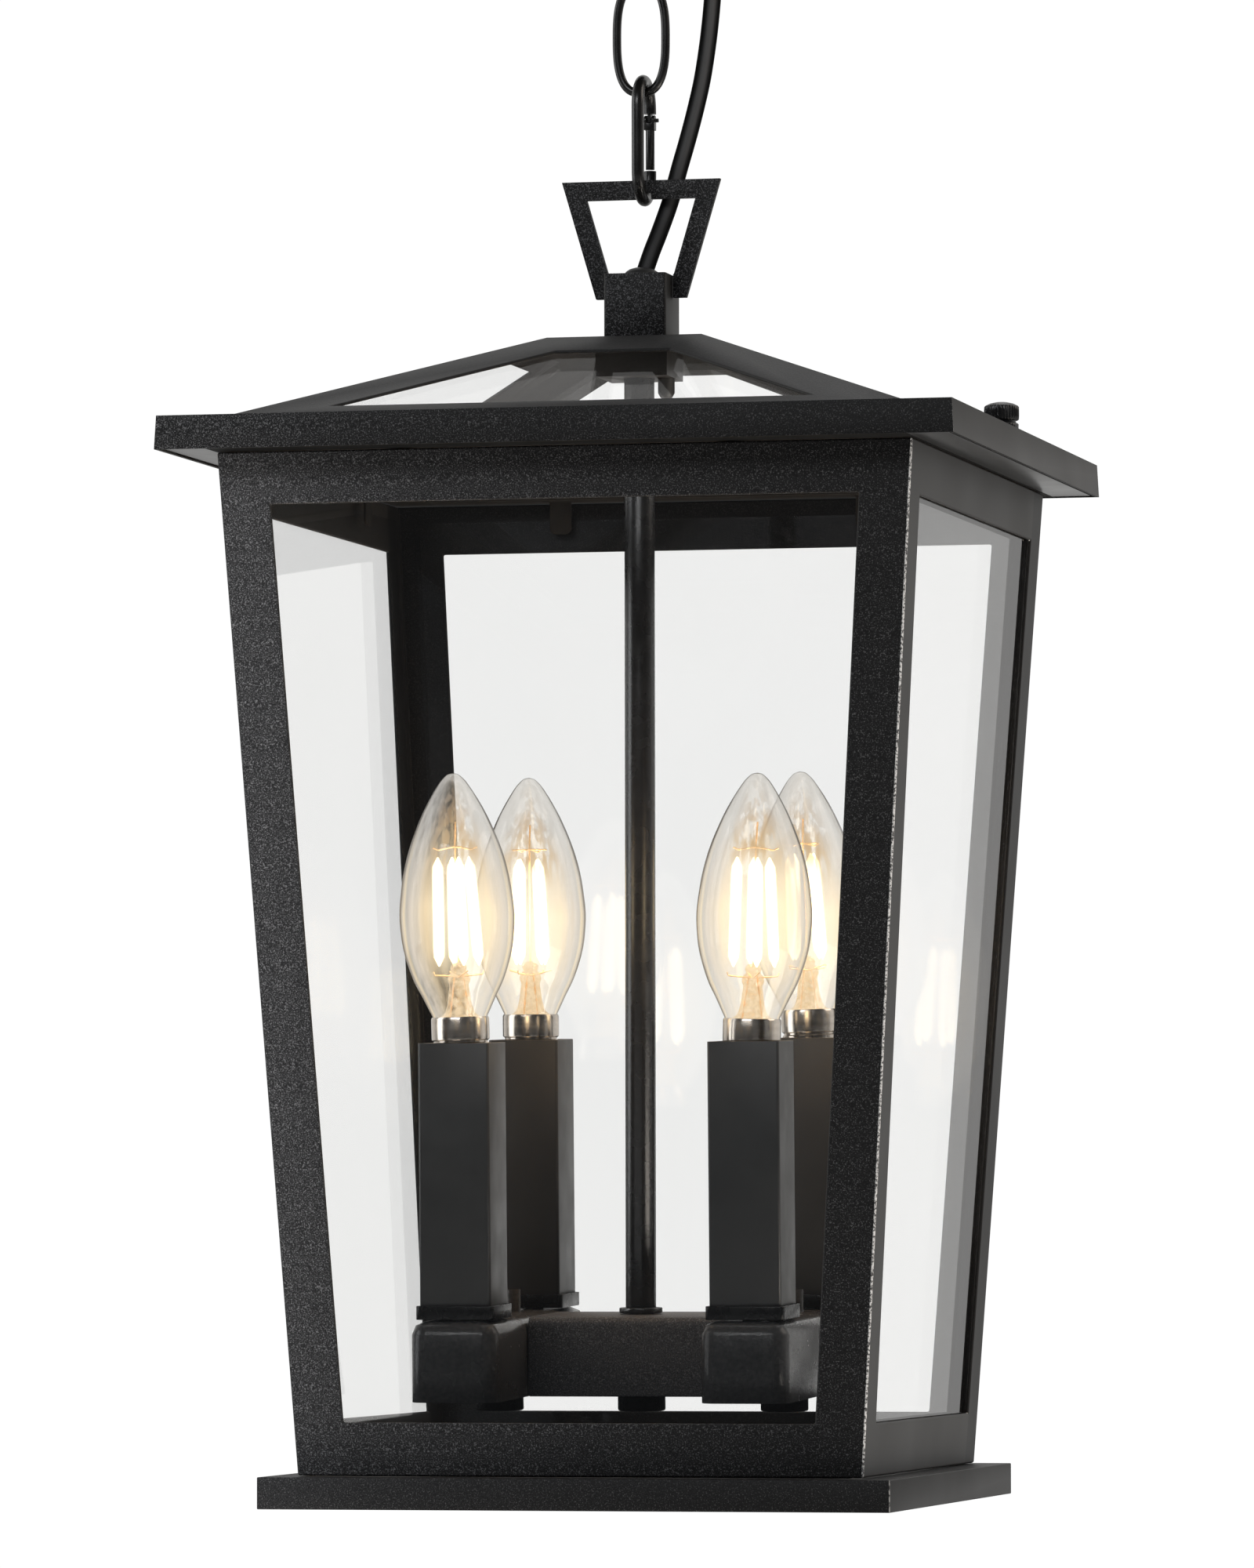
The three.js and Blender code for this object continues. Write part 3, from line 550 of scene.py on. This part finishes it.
def filament_glow():
    """A lit strip: white-hot in the middle, amber and fading at its outline."""
    n = Nodes(bpy.data.materials.new("filament_glow"))
    n.tree.nodes.remove(n.tree.nodes["Principled BSDF"])
    facing = n.facing()
    colour = n.ramp(facing, ((0.25, (1.0, 0.80, 0.50)), (0.85, (0.60, 0.34, 0.12))))
    clear = n.add("BsdfTransparent").outputs["BSDF"]
    n.show(n.mix_shaders(n.fit(facing, 0.16, 0.80), n.glow(colour, 6.0), clear))
    return n.material


# One black powder coat, made lighter or darker and more or less speckled part by part for how each part is
# lit: painted light and shade.
POWDER = powder_coat("cage_powder_coat", glint_tone=0.38, tooth=0.3, base=0.068, corner_highlight=0.75, painted_sheen=True)
EAVE_POWDER = powder_coat("eave_powder_coat", glint_tone=0.20, tooth=0.3, base=0.020, corner_highlight=0.75, painted_sheen=True)
# Flank 0.30 darkens the base's sideways faces: painted shade.
BASE_POWDER = powder_coat(
    "base_powder_coat", glint_tone=0.15, tooth=0.3, base=0.052, flank=0.30, corner_highlight=0.3, painted_sheen=True,
)
ROOF_POWDER = powder_coat("roof_powder_coat", glint_tone=0.035, tooth=0.15, base=0.012)
CANOPY_POWDER = powder_coat("canopy_powder_coat", glint_tone=0.12, tooth=0.3, base=0.012, flank=0.9)
NECK_POWDER = powder_coat("neck_powder_coat", glint_tone=0.15, tooth=0.3, base=0.008, flank=0.9)
FLANGE = flange_paint()
# The same coat, darker and almost without specks, for the back of the cage: painted shade.
SHADED_BACK_POWDER = powder_coat("shaded_back_powder_coat", glint_tone=0.02, tooth=0.1, base=0.005, flank=0.35)
BAR_POWDER = powder_coat("bar_powder_coat", glint_tone=0.14, tooth=0.4, base=0.050)
SATIN = mottled(
    "satin_black", ((0.026, 0.026, 0.026), 0.38), (35, 3),
    ((0.3, (0.023, 0.023, 0.0232)), (0.7, (0.030, 0.0298, 0.0292))),
    ((90, 3), 0.34, 0.46), (((900,), 0.0001, 0.06), ((40, 1), 0.0006, 0.03)),
).material
GLOSS = gloss_paint()
ENAMEL = gloss_paint("peeled_enamel", base=0.036, peel=0.15, sheen=0.22, specular=0.25)
TRAY = gloss_paint("tray_enamel", base=0.006, peel=0.05, sheen=0.26, specular=0.25)
ROD = gloss_paint("rod_enamel", base=0.009, peel=0.0, sheen=0.25, specular=0.7)
WIRE = mottled(
    "black_wire", ((0.010, 0.0095, 0.009), 0.27), (120,),
    ((0.35, (0.008, 0.0077, 0.0073)), (0.70, (0.013, 0.0125, 0.012))),
    ((150,), 0.22, 0.32), (((240,), 0.00005, 0.04),),
).material
JACKET = cord_jacket()
RUBBER = mottled(
    "black_rubber", ((0.012, 0.012, 0.012), 0.55), (300, 3),
    ((0.3, (0.009, 0.009, 0.009)), (0.75, (0.020, 0.020, 0.0195))),
    ((200, 3), 0.45, 0.65), (((900,), 0.0001, 0.3),),
).material
ZINC = mottled(
    "zinc_steel", ((0.5, 0.5, 0.48), 0.35), (180, 3),
    ((0.3, (0.42, 0.42, 0.41)), (0.7, (0.60, 0.60, 0.57))),
    ((500, 3), 0.26, 0.46), (((800,), 0.0001, 0.2),), metallic=1.0,
).material
# Plain drawn nickel with very faint rings.
NICKEL = mottled(
    "nickel", ((0.62, 0.56, 0.49), 0.2), (40, 2, (1, 1, 20)),
    ((0.3, (0.57, 0.51, 0.45)), (0.7, (0.65, 0.59, 0.52))),
    ((40, 2, (1, 1, 20)), 0.17, 0.23), metallic=1.0,
).material
SOCKET = mottled(
    "socket_white", ((0.72, 0.70, 0.65), 0.5), (80, 3),
    ((0.3, (0.66, 0.64, 0.58)), (0.7, (0.76, 0.74, 0.70))),
    ((200,), 0.42, 0.58), (((500,), 0.0001, 0.2),),
).material
PANE = pane_glass()
ROOF_PANE = pane_glass("roof_pane_glass", edge_on=0.12)
BULB = bulb_glass()
FILAMENT = filament_glow()
STEM = stem_glass()
LEAD = lead_wire()

# ------------------------------------------------------------------ supply cord
CORD_ROUTE = [at(*p) for p in (
    (23.4, 0.0, 476.0), (22.6, 1.8, 468.0), (21.5, 3.8, 458.7), (20.3, 5.4, 450.5),
    (18.9, 6.9, 442.8), (17.4, 7.8, 435.2), (15.7, 8.4, 428.4), (14.0, 8.6, 422.0),
    (12.2, 8.6, 415.6), (10.4, 8.4, 409.4), (9.2, 8.0, 404.8), (8.2, 7.5, 400.6),
    (7.0, 6.8, 396.3), (5.6, 5.6, 391.6), (4.2, 3.9, 386.8), (2.7, 2.2, 382.0),
    (1.0, 0.5, 376.0),
)]
CORD_RADIUS = 2.65 * MM
CORD_STEPS = 5
# Name, first and last point, the bodies above and below, and two heights.
CORD_PARTS = (
    ("upper", 0, 4, "ceiling_fitting", "chain_link", 474, 444),
    ("middle", 4, 9, "chain_link", "carabiner", 441, 421),
    ("lower", 9, 16, "carabiner", "hood", 408, 382),
)


def make_cord():
    route = smooth_route(CORD_ROUTE, CORD_STEPS)
    for part, first, last, body, next_body, start, end in CORD_PARTS:
        path = route[first * CORD_STEPS:last * CORD_STEPS + 1]
        name = "cord_" + part
        mesh = tube(name, path, CORD_RADIUS, 20)
        piece = link(name, mesh, None, JACKET, stands_for=("supply_cord_" + part,))
        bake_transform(piece)


make_cord()


# ------------------------------------------------------------------ chain link, carabiner and ring
def link_wire(name, mesh, body, stands_for=()):
    link(name, mesh, body, WIRE, stands_for=stands_for)


def make_link():
    """A rounded oblong of wire whose ends meet in a fine seam."""
    seam, half_gap, squareness, steps = 0.0164, 0.0006, 2 / 2.7, 96
    path = []
    for i in range(steps):
        angle = seam + half_gap + i / (steps - 1) * 2 * (math.pi - half_gap)
        x = math.copysign(abs(math.cos(angle)) ** squareness, math.cos(angle))
        z = math.copysign(abs(math.sin(angle)) ** squareness, math.sin(angle))
        path.append(at(7.65 * x, 0, 447.6 + 16.8 * z))
    link_wire("chain_link_wire", tube("chain_link_wire", path, 1.35 * MM, 20), "chain_link", ("chain_link",))


def make_ring():
    """The canopy's ring, and the collar with a threaded shank that holds it."""
    radius, centre = 10.2, 471.5
    path = [at(0, radius * math.cos(angle), centre + radius * math.sin(angle)) for angle in angles_round(72)]
    link_wire("canopy_ring_wire", tube("canopy_ring_wire", path, 1.5 * MM, 20, True), "ceiling_fitting")
    collar = [(0, 480.9), (3.0, 480.9), (3.6, 481.1), (6, 483.3), (6, 487.4), (5.7, 487.7), (4, 487.7)]
    for i in range(9):
        collar += [(4.0, 488.6 + 1.15 * i), (3.6, 489.1 + 1.15 * i)]
    collar += [(3.6, 499), (0, 499)]
    mesh = lathe("canopy_loop_collar", [(r * MM, (h - CEILING) * MM) for r, h in collar])
    link_wire("canopy_loop_collar", mesh, "ceiling_fitting", ("canopy_loop",))


def make_hook():
    """A bent wire whose upper end carries a flat tongue for the gate to turn on."""
    x, half, top, bottom, hinge = 0.8, 8.4, 434.35 - 8.4, 397.7 + 8.4, 423.2
    path = [at(x, half, 407.5)]
    for i in range(21):
        angle = -math.pi * i / 20
        path.append(at(x, half * math.cos(angle), bottom + half * math.sin(angle)))
    for i in range(21):
        angle = math.pi - math.pi * i / 20
        path.append(at(x, half * math.cos(angle), top + half * math.sin(angle)))
    path.append(at(x, half, hinge + 1.95))
    wire = tube("carabiner_wire", path, 1.9 * MM, 24)
    tongue = mesh_box((x - 0.5, x + 0.5), (half - 1.3, half + 1.3), (hinge, hinge + 3))
    knuckle = tube("knuckle", [at(x - 0.5, half, hinge), at(x + 0.5, half, hinge)], 1.3 * MM, 20)
    hook = join("carabiner_wire", wire, tongue, knuckle)
    link_wire("carabiner_wire", hook, "carabiner", ("carabiner_hook",))


make_link()
make_ring()
make_hook()

# ------------------------------------------------------------------ cage
CAGE_BOTTOM, CAGE_HEIGHT = 9.5, 304.0
CAGE_HALF_BOTTOM, CAGE_HALF_TOP = 85.8, 105.4
CAGE_STILE, CAGE_WALL = 15.3, 1.2
CAGE_LEVELS = (9.8, 25.6, 297.9, 313.5)  # bottom edge, sill, lintel and top edge
COLUMNS = 12  # a corner and two window edges on each of four sides


def cage_half(height):
    return CAGE_HALF_BOTTOM + (height - CAGE_BOTTOM) * (CAGE_HALF_TOP - CAGE_HALF_BOTTOM) / CAGE_HEIGHT


def cage_grid(inset):
    """Corner and window points at the four levels, for all four sides."""
    points = []
    for height in CAGE_LEVELS:
        half = cage_half(height)
        window = half - CAGE_STILE
        for side in range(4):
            turn = Matrix.Rotation(side * math.pi / 2, 3, "Z")
            for x in (-(half - inset), -window, window):
                points.append(turn @ Vector((x, -(half - inset), 0)) * MM + at(0, 0, height))
    return points


def make_cage():
    """The four frames are one folded and coated shell, so the corners have no seam."""
    points = cage_grid(0) + cage_grid(CAGE_WALL)
    faces = []

    def index(layer, level, column):
        return (layer * len(CAGE_LEVELS) + level) * COLUMNS + column % COLUMNS

    def bridge(level_a, column_a, level_b, column_b):
        """The edge of the sheet, from its outer to its inner layer."""
        faces.append((
            index(0, level_a, column_a), index(0, level_b, column_b),
            index(1, level_b, column_b), index(1, level_a, column_a),
        ))

    for level in range(3):
        for column in range(COLUMNS):
            if level == 1 and column % 3 == 1:
                continue
            for layer in (0, 1):
                faces.append((
                    index(layer, level, column), index(layer, level, column + 1),
                    index(layer, level + 1, column + 1), index(layer, level + 1, column),
                ))
    for column in range(COLUMNS):
        for level in (0, 3):
            bridge(level, column, level, column + 1)
    for side in range(4):
        left, right = side * 3 + 1, side * 3 + 2
        bridge(1, left, 1, right)
        bridge(1, right, 2, right)
        bridge(2, right, 2, left)
        bridge(2, left, 1, left)
    mesh = mesh_from("cage_shell", points, faces)
    shell = link("cage_shell", mesh, "cage", POWDER,
                 stands_for=tuple(side + "_frame" for side in SIDES))
    # The back half of the shell takes the darker copy of the coat: painted shade.
    shell.data.materials.append(SHADED_BACK_POWDER)
    for polygon in shell.data.polygons:
        polygon.material_index = 1 if polygon.center.y > 0 else 0
    round_edges(shell, 0.75, 32, 3)


make_cage()

# ------------------------------------------------------------------ knurled nuts
KNURL_TEETH = 34
KNURL_DEPTH = 0.28
# Radius, height and how much of the knurl's depth is cut, from the foot up.
NUT_OUTLINE = (
    (2.3, 323.9, 0), (4.9, 323.9, 0), (5.15, 324.2, 0.5), (5.2, 326.2, 0.5), (5.0, 326.5, 0),
    (4.4, 326.8, 0), (4.4, 327.3, 0), (5.0, 327.5, 0), (5.3, 327.8, 1), (5.35, 328.8, 1),
    (5.35, 330.3, 1), (5.3, 331.5, 1), (5.0, 331.9, 0), (3.6, 332.6, 0), (1.8, 333.0, 0), (0.0, 333.1, 0),
)
NUT_BORE = ((0.0, 330.9, 0), (2.3, 330.9, 0))


def make_thumb_nut(name, x):
    """A knurl round a domed head, over a plain foot with a blind bore."""
    sides = KNURL_TEETH * 4
    points = []
    for radius, height, depth in NUT_OUTLINE + NUT_BORE:
        for angle in angles_round(sides):
            cut = KNURL_DEPTH * depth * (0.5 + 0.5 * math.cos(KNURL_TEETH * angle))
            r = max(radius - cut, 0)
            points.append(at(x + r * math.cos(angle), r * math.sin(angle), height))
    faces = ring_faces(len(NUT_OUTLINE) + len(NUT_BORE), sides, True)
    dome = (len(NUT_OUTLINE) - 1) * sides
    mesh = mesh_from(name + "_knurled", points, faces[:dome] + faces[dome + sides:])
    link(name + "_knurled", mesh, name, GLOSS, stands_for=(name,))


make_thumb_nut("thumb_nut_left", -112)
make_thumb_nut("thumb_nut_right", 112)

# ------------------------------------------------------------------ candle lamps
CLUSTER = (
    Matrix.Translation(at(-0.8, 0, 56.9))
    @ Matrix.Rotation(math.radians(1.8), 4, "X")
)
LAMP_PIVOT = 72  # each lamp leans about this height in its socket
GLOW_HEIGHT = 123
# Each filament's foot, and how near to the axis its upper end comes.
FILAMENTS = ((-5.8, -1.6, 0.92), (-1.2, 5.0, 0.8), (1.6, -5.0, 0.6), (6.2, 1.4, 0.66))
FILAMENT_LOW, FILAMENT_HIGH = 106.6, 139.4
# The centre post up to the tip, the lower and upper cross supports, and the two lead-in wires.
BULB_WIRES = (
    (0.28, (0, 0, 106.5), (0, 0, 143), (0.4, 0, 150)),
    (0.25, (-7.6, -2.2, 104.9), (-7.2, -2.1, 103.9), (0, 0, 103.3), (7.2, 2.1, 103.9), (7.6, 2.2, 104.9)),
    (0.25, (-2.6, 6.6, 104.9), (0, 0, 103.1), (2.6, -6.6, 104.9)),
    (0.25, (-6.6, -1.9, 142.3), (-5.0, -1.5, 141.6), (0, 0, 142.6), (5.0, 1.5, 141.6), (6.6, 1.9, 142.3)),
    (0.25, (-2.2, 5.4, 142.3), (0, 0, 142.4), (2.2, -5.4, 142.3)),
    (0.3, (-3.0, 0, 91), (-1.9, 0, 99), (-1.2, 0, 104)),
    (0.3, (3.0, 0, 91), (1.9, 0, 99), (1.2, 0, 104)),
)


def on_lamp_axis(sx, sy, height):
    """A point on the axis of a lamp, in the cluster's own axes."""
    return Vector((44.5 * sx, 44 * sy, height)) * MM


def bulb_glass_mesh():
    """The blown outline from the skirt to the tip, closed flat inside the skirt."""
    outline = smooth_profile((
        (8.0, 90.2), (8.3, 91.4), (8.9, 92.7), (11.0, 97.1), (13.3, 101.7), (15.1, 106.7), (16.3, 111.1),
        (17.0, 115.7), (17.35, 122.4), (16.6, 129.9), (15.8, 134.7), (14.7, 139.2), (13.2, 143.9),
        (11.3, 148.7), (9.2, 153.3), (6.6, 158.0), (4.2, 161.7), (2.9, 163.2), (1.6, 164.3), (0.0, 164.7),
    ), 4)
    return lathe("bulb_glass", [(0.0, outline[0][1])] + outline, 56)


def bulb_cap_mesh():
    """Nickel skirt with a rolled rim, over the threaded cap with its contact."""
    profile = [(0, 63.0), (2.4, 63.1), (2.6, 64.0), (4.8, 65.6), (5.4, 66.4)]
    for i in range(6):
        profile += [(5.95, 67.6 + 2.2 * i), (5.95, 68.2 + 2.2 * i), (5.35, 69.2 + 2.2 * i)]
    profile += [
        (5.4, 81.4), (8.0, 82.0), (8.5, 82.3), (8.5, 83.2), (8.1, 83.6), (8.1, 84.0), (8.7, 84.4),
        (8.75, 85.0), (8.75, 90.6), (8.5, 91.2), (8.1, 91.2), (8.0, 90.2), (0, 90.2),
    ]
    return lathe("bulb_cap", [(radius * MM, height * MM) for radius, height in profile])


def bulb_stem_mesh():
    """The flare and pinched stem of glass that carries the wires."""
    return lathe("bulb_stem", smooth_profile((
        (0, 90.4), (6.4, 90.6), (4.6, 92.4), (3.6, 95.5), (3.2, 98.6), (2.9, 100.8), (3.4, 102.2),
        (3.0, 103.9), (2.2, 104.8), (2.5, 106.0), (1.8, 107.2), (0, 107.8),
    ), 3), 24)


def filament_strip(x, y, lean):
    """A level-sided strip that leans in and narrows at both ends."""
    rings, sides, radius = 13, 16, 1.9 * MM
    points = []
    for i in range(rings):
        t = i / (rings - 1)
        near = 1 - (1 - lean) * t
        centre = Vector((x * near, y * near, FILAMENT_LOW + (FILAMENT_HIGH - FILAMENT_LOW) * t)) * MM
        from_middle = abs(2 * i / (rings - 1) - 1)
        r = radius * math.sqrt(max(1 - from_middle ** 10, 0.02))
        points += [centre + Vector((r * math.cos(a), r * math.sin(a), 0)) for a in angles_round(sides)]
    return mesh_from("filament", points, ring_faces(rings, sides) + end_faces(rings, sides))


def bulb_wires_mesh():
    return join("bulb_wires", *[
        tube("w", [Vector(p) * MM for p in points], radius * MM, 8) for radius, *points in BULB_WIRES
    ])


def make_lamps():
    meshes = {
        "glass": (bulb_glass_mesh(), BULB),
        "cap": (bulb_cap_mesh(), NICKEL),
        "stem": (bulb_stem_mesh(), STEM),
        "wires": (bulb_wires_mesh(), LEAD),
        "filaments": (join("bulb_filaments", *[filament_strip(*foot) for foot in FILAMENTS]), FILAMENT),
    }
    for lamp, sx, sy in LAMPS:
        lean, lift, turn = LAMP_SEATS[lamp]
        place = CLUSTER @ Matrix.Translation(on_lamp_axis(sx, sy, 0))
        place = place @ Matrix.Translation(Vector((0, 0, LAMP_PIVOT + lift)) * MM)
        place = place @ Matrix.Rotation(math.radians(lean), 4, "Y")
        place = place @ Matrix.Translation(Vector((0, 0, -LAMP_PIVOT)) * MM) @ Matrix.Rotation(turn, 4, "Z")
        for part, (mesh, material) in meshes.items():
            own = mesh.copy()
            own.transform(place)
            stands_for = (lamp + "_bulb",) if part == "glass" else ()
            link(lamp + "_bulb_" + part, own, lamp + "_bulb", material, stands_for)


make_lamps()


# ------------------------------------------------------------------ carried-over CAD pieces
def each_lamp(part):
    return tuple(lamp + part for lamp, _, _ in LAMPS)


# The nodes of one finish, the finish, how wide their edges are rounded and from which angle.
FINISHES = (
    (("hanging_loop",), NECK_POWDER, 0.45, 30),
    (("neck_tube",), NECK_POWDER, 0.35, 30),
    (("cage_top_flange",), FLANGE, 0.25, 30),
    (("base_pan",), BASE_POWDER, 1.3, 30),
    (("eave_pan",), EAVE_POWDER, 0.45, 30),
    (("roof_frame",), ROOF_POWDER, 0.4, 30),
    (("crossbar",), BAR_POWDER, 0.5, 30),
    (("canopy",), CANOPY_POWDER, 0.3, 50),
    (each_lamp("_cup"), TRAY, 0.25, 40),
    (each_lamp("_sleeve"), SATIN, 0.3, 40),
    (each_lamp("_socket"), SOCKET, 0.3, 40),
    (("side_bar_left", "side_bar_right"), ENAMEL, 0.2, 50),
    (("canopy_screw_front", "canopy_screw_back"), GLOSS, 0.2, 50),
    (("coupling_left", "coupling_centre", "coupling_right"), GLOSS, 0.6, 40),
    (("centre_rod", "rod_flange"), ROD, 0.3, 40),
    (("rod_bracket",), SATIN, 0.3, 40),
    (("mounting_strap", "canopy_loop_nut", "rod_top_nut"), ZINC, 0.3, 40),
    (("cord_grommet", "canopy_cord_grip"), RUBBER, 0.3, 40),
    (("carabiner_gate",), WIRE, 0.2, 40),
)


def dress(name, material):
    materials = nodes[name].data.materials
    materials.clear()
    materials.append(material)
    return nodes[name]


def finish_node(name, material, width, angle):
    """A CAD piece keeps its own mesh, with its edges rounded over by modifiers."""
    node = dress(name, material)
    node.data.shade_smooth()
    weld = node.modifiers.new("weld", "WELD")
    weld.merge_threshold = 1e-6
    flat = node.modifiers.new("flat faces", "DECIMATE")
    flat.decimate_type = "DISSOLVE"
    flat.angle_limit = math.radians(1)
    round_edges(node, width, angle)


def finish_nodes():
    for names, finish, width, angle in FINISHES:
        for name in names:
            finish_node(name, finish, width, angle)
    for side in SIDES:
        dress(side + "_pane", PANE)
        dress(side + "_roof_pane", ROOF_PANE)


finish_nodes()


# ------------------------------------------------------------------ room and light
def make_floor():
    half, drop = 8, -1.9
    corners = [(-half, -half, drop), (half, -half, drop), (half, half, drop), (-half, half, drop)]
    mesh = mesh_from("floor", corners, [(0, 1, 2, 3)])
    floor = bpy.data.objects.new("floor", mesh)
    scene.collection.objects.link(floor)
    mesh.materials.append(Paint("floor_paint", (0.8, 0.8, 0.8), 0.9).material)


def make_world():
    """White to the camera. To light and reflections, a room that is bright behind and dark in front."""
    world = bpy.data.worlds.new("world")
    scene.world = world
    n = Nodes(world)
    across = n.fit(n.split(n.place["Generated"])["Y"], -1, 1)
    room = n.tree.nodes["Background"]
    room.inputs["Strength"].default_value = 1.0
    n.feed(room.inputs["Color"], n.ramp(across, (
        (0.30, (0.045, 0.048, 0.052)), (0.52, 0.22), (0.72, (0.80, 0.795, 0.785)),
    )))
    white = n.add("Background", {"Color": (1, 1, 1, 1), "Strength": 1.02}).outputs["Background"]
    seen = n.add("LightPath").outputs["Is Camera Ray"]
    n.show(n.mix_shaders(seen, room.outputs["Background"], white), "World Output")


def add_light(name, place, size, power, colour):
    """A soft box that faces the middle of the lantern."""
    data = bpy.data.lights.new(name, "AREA")
    data.shape = "RECTANGLE"
    data.size, data.size_y = size
    data.energy = power
    data.color = colour
    light = bpy.data.objects.new(name, data)
    light.location = place
    light.rotation_euler = (Vector((0, 0, -0.33)) - Vector(place)).to_track_quat("-Z", "Y").to_euler()
    scene.collection.objects.link(light)


def add_lamp_glow():
    """Warm light from the four lit lamps."""
    for lamp, sx, sy in LAMPS:
        data = bpy.data.lights.new(lamp + "_glow", "POINT")
        data.energy = 0.36
        data.color = (1.0, 0.60, 0.27)
        data.shadow_soft_size = 0.012
        light = bpy.data.objects.new(lamp + "_glow", data)
        light.location = CLUSTER @ on_lamp_axis(sx, sy, GLOW_HEIGHT)
        light.visible_glossy = False
        scene.collection.objects.link(light)


make_floor()
make_world()
add_light("right_box", (2.2, 0.5, 1.2), (1.4, 1.4), 15, (1.0, 0.89, 0.79))
add_light("low_box", (1.4, -0.4, -1.5), (1.2, 1.2), 22, (1.0, 0.91, 0.82))
add_light("left_box", (-2.4, -0.6, 0.1), (1.2, 2.2), 22, (0.96, 0.98, 1.0))
add_light("front_box", (-0.5, -3.2, 1.4), (2.2, 1.0), 34, (0.97, 0.98, 1.0))
add_light("top_box", (0.2, 0.4, 2.2), (2.2, 2.2), 30, (1, 1, 1))
add_lamp_glow()
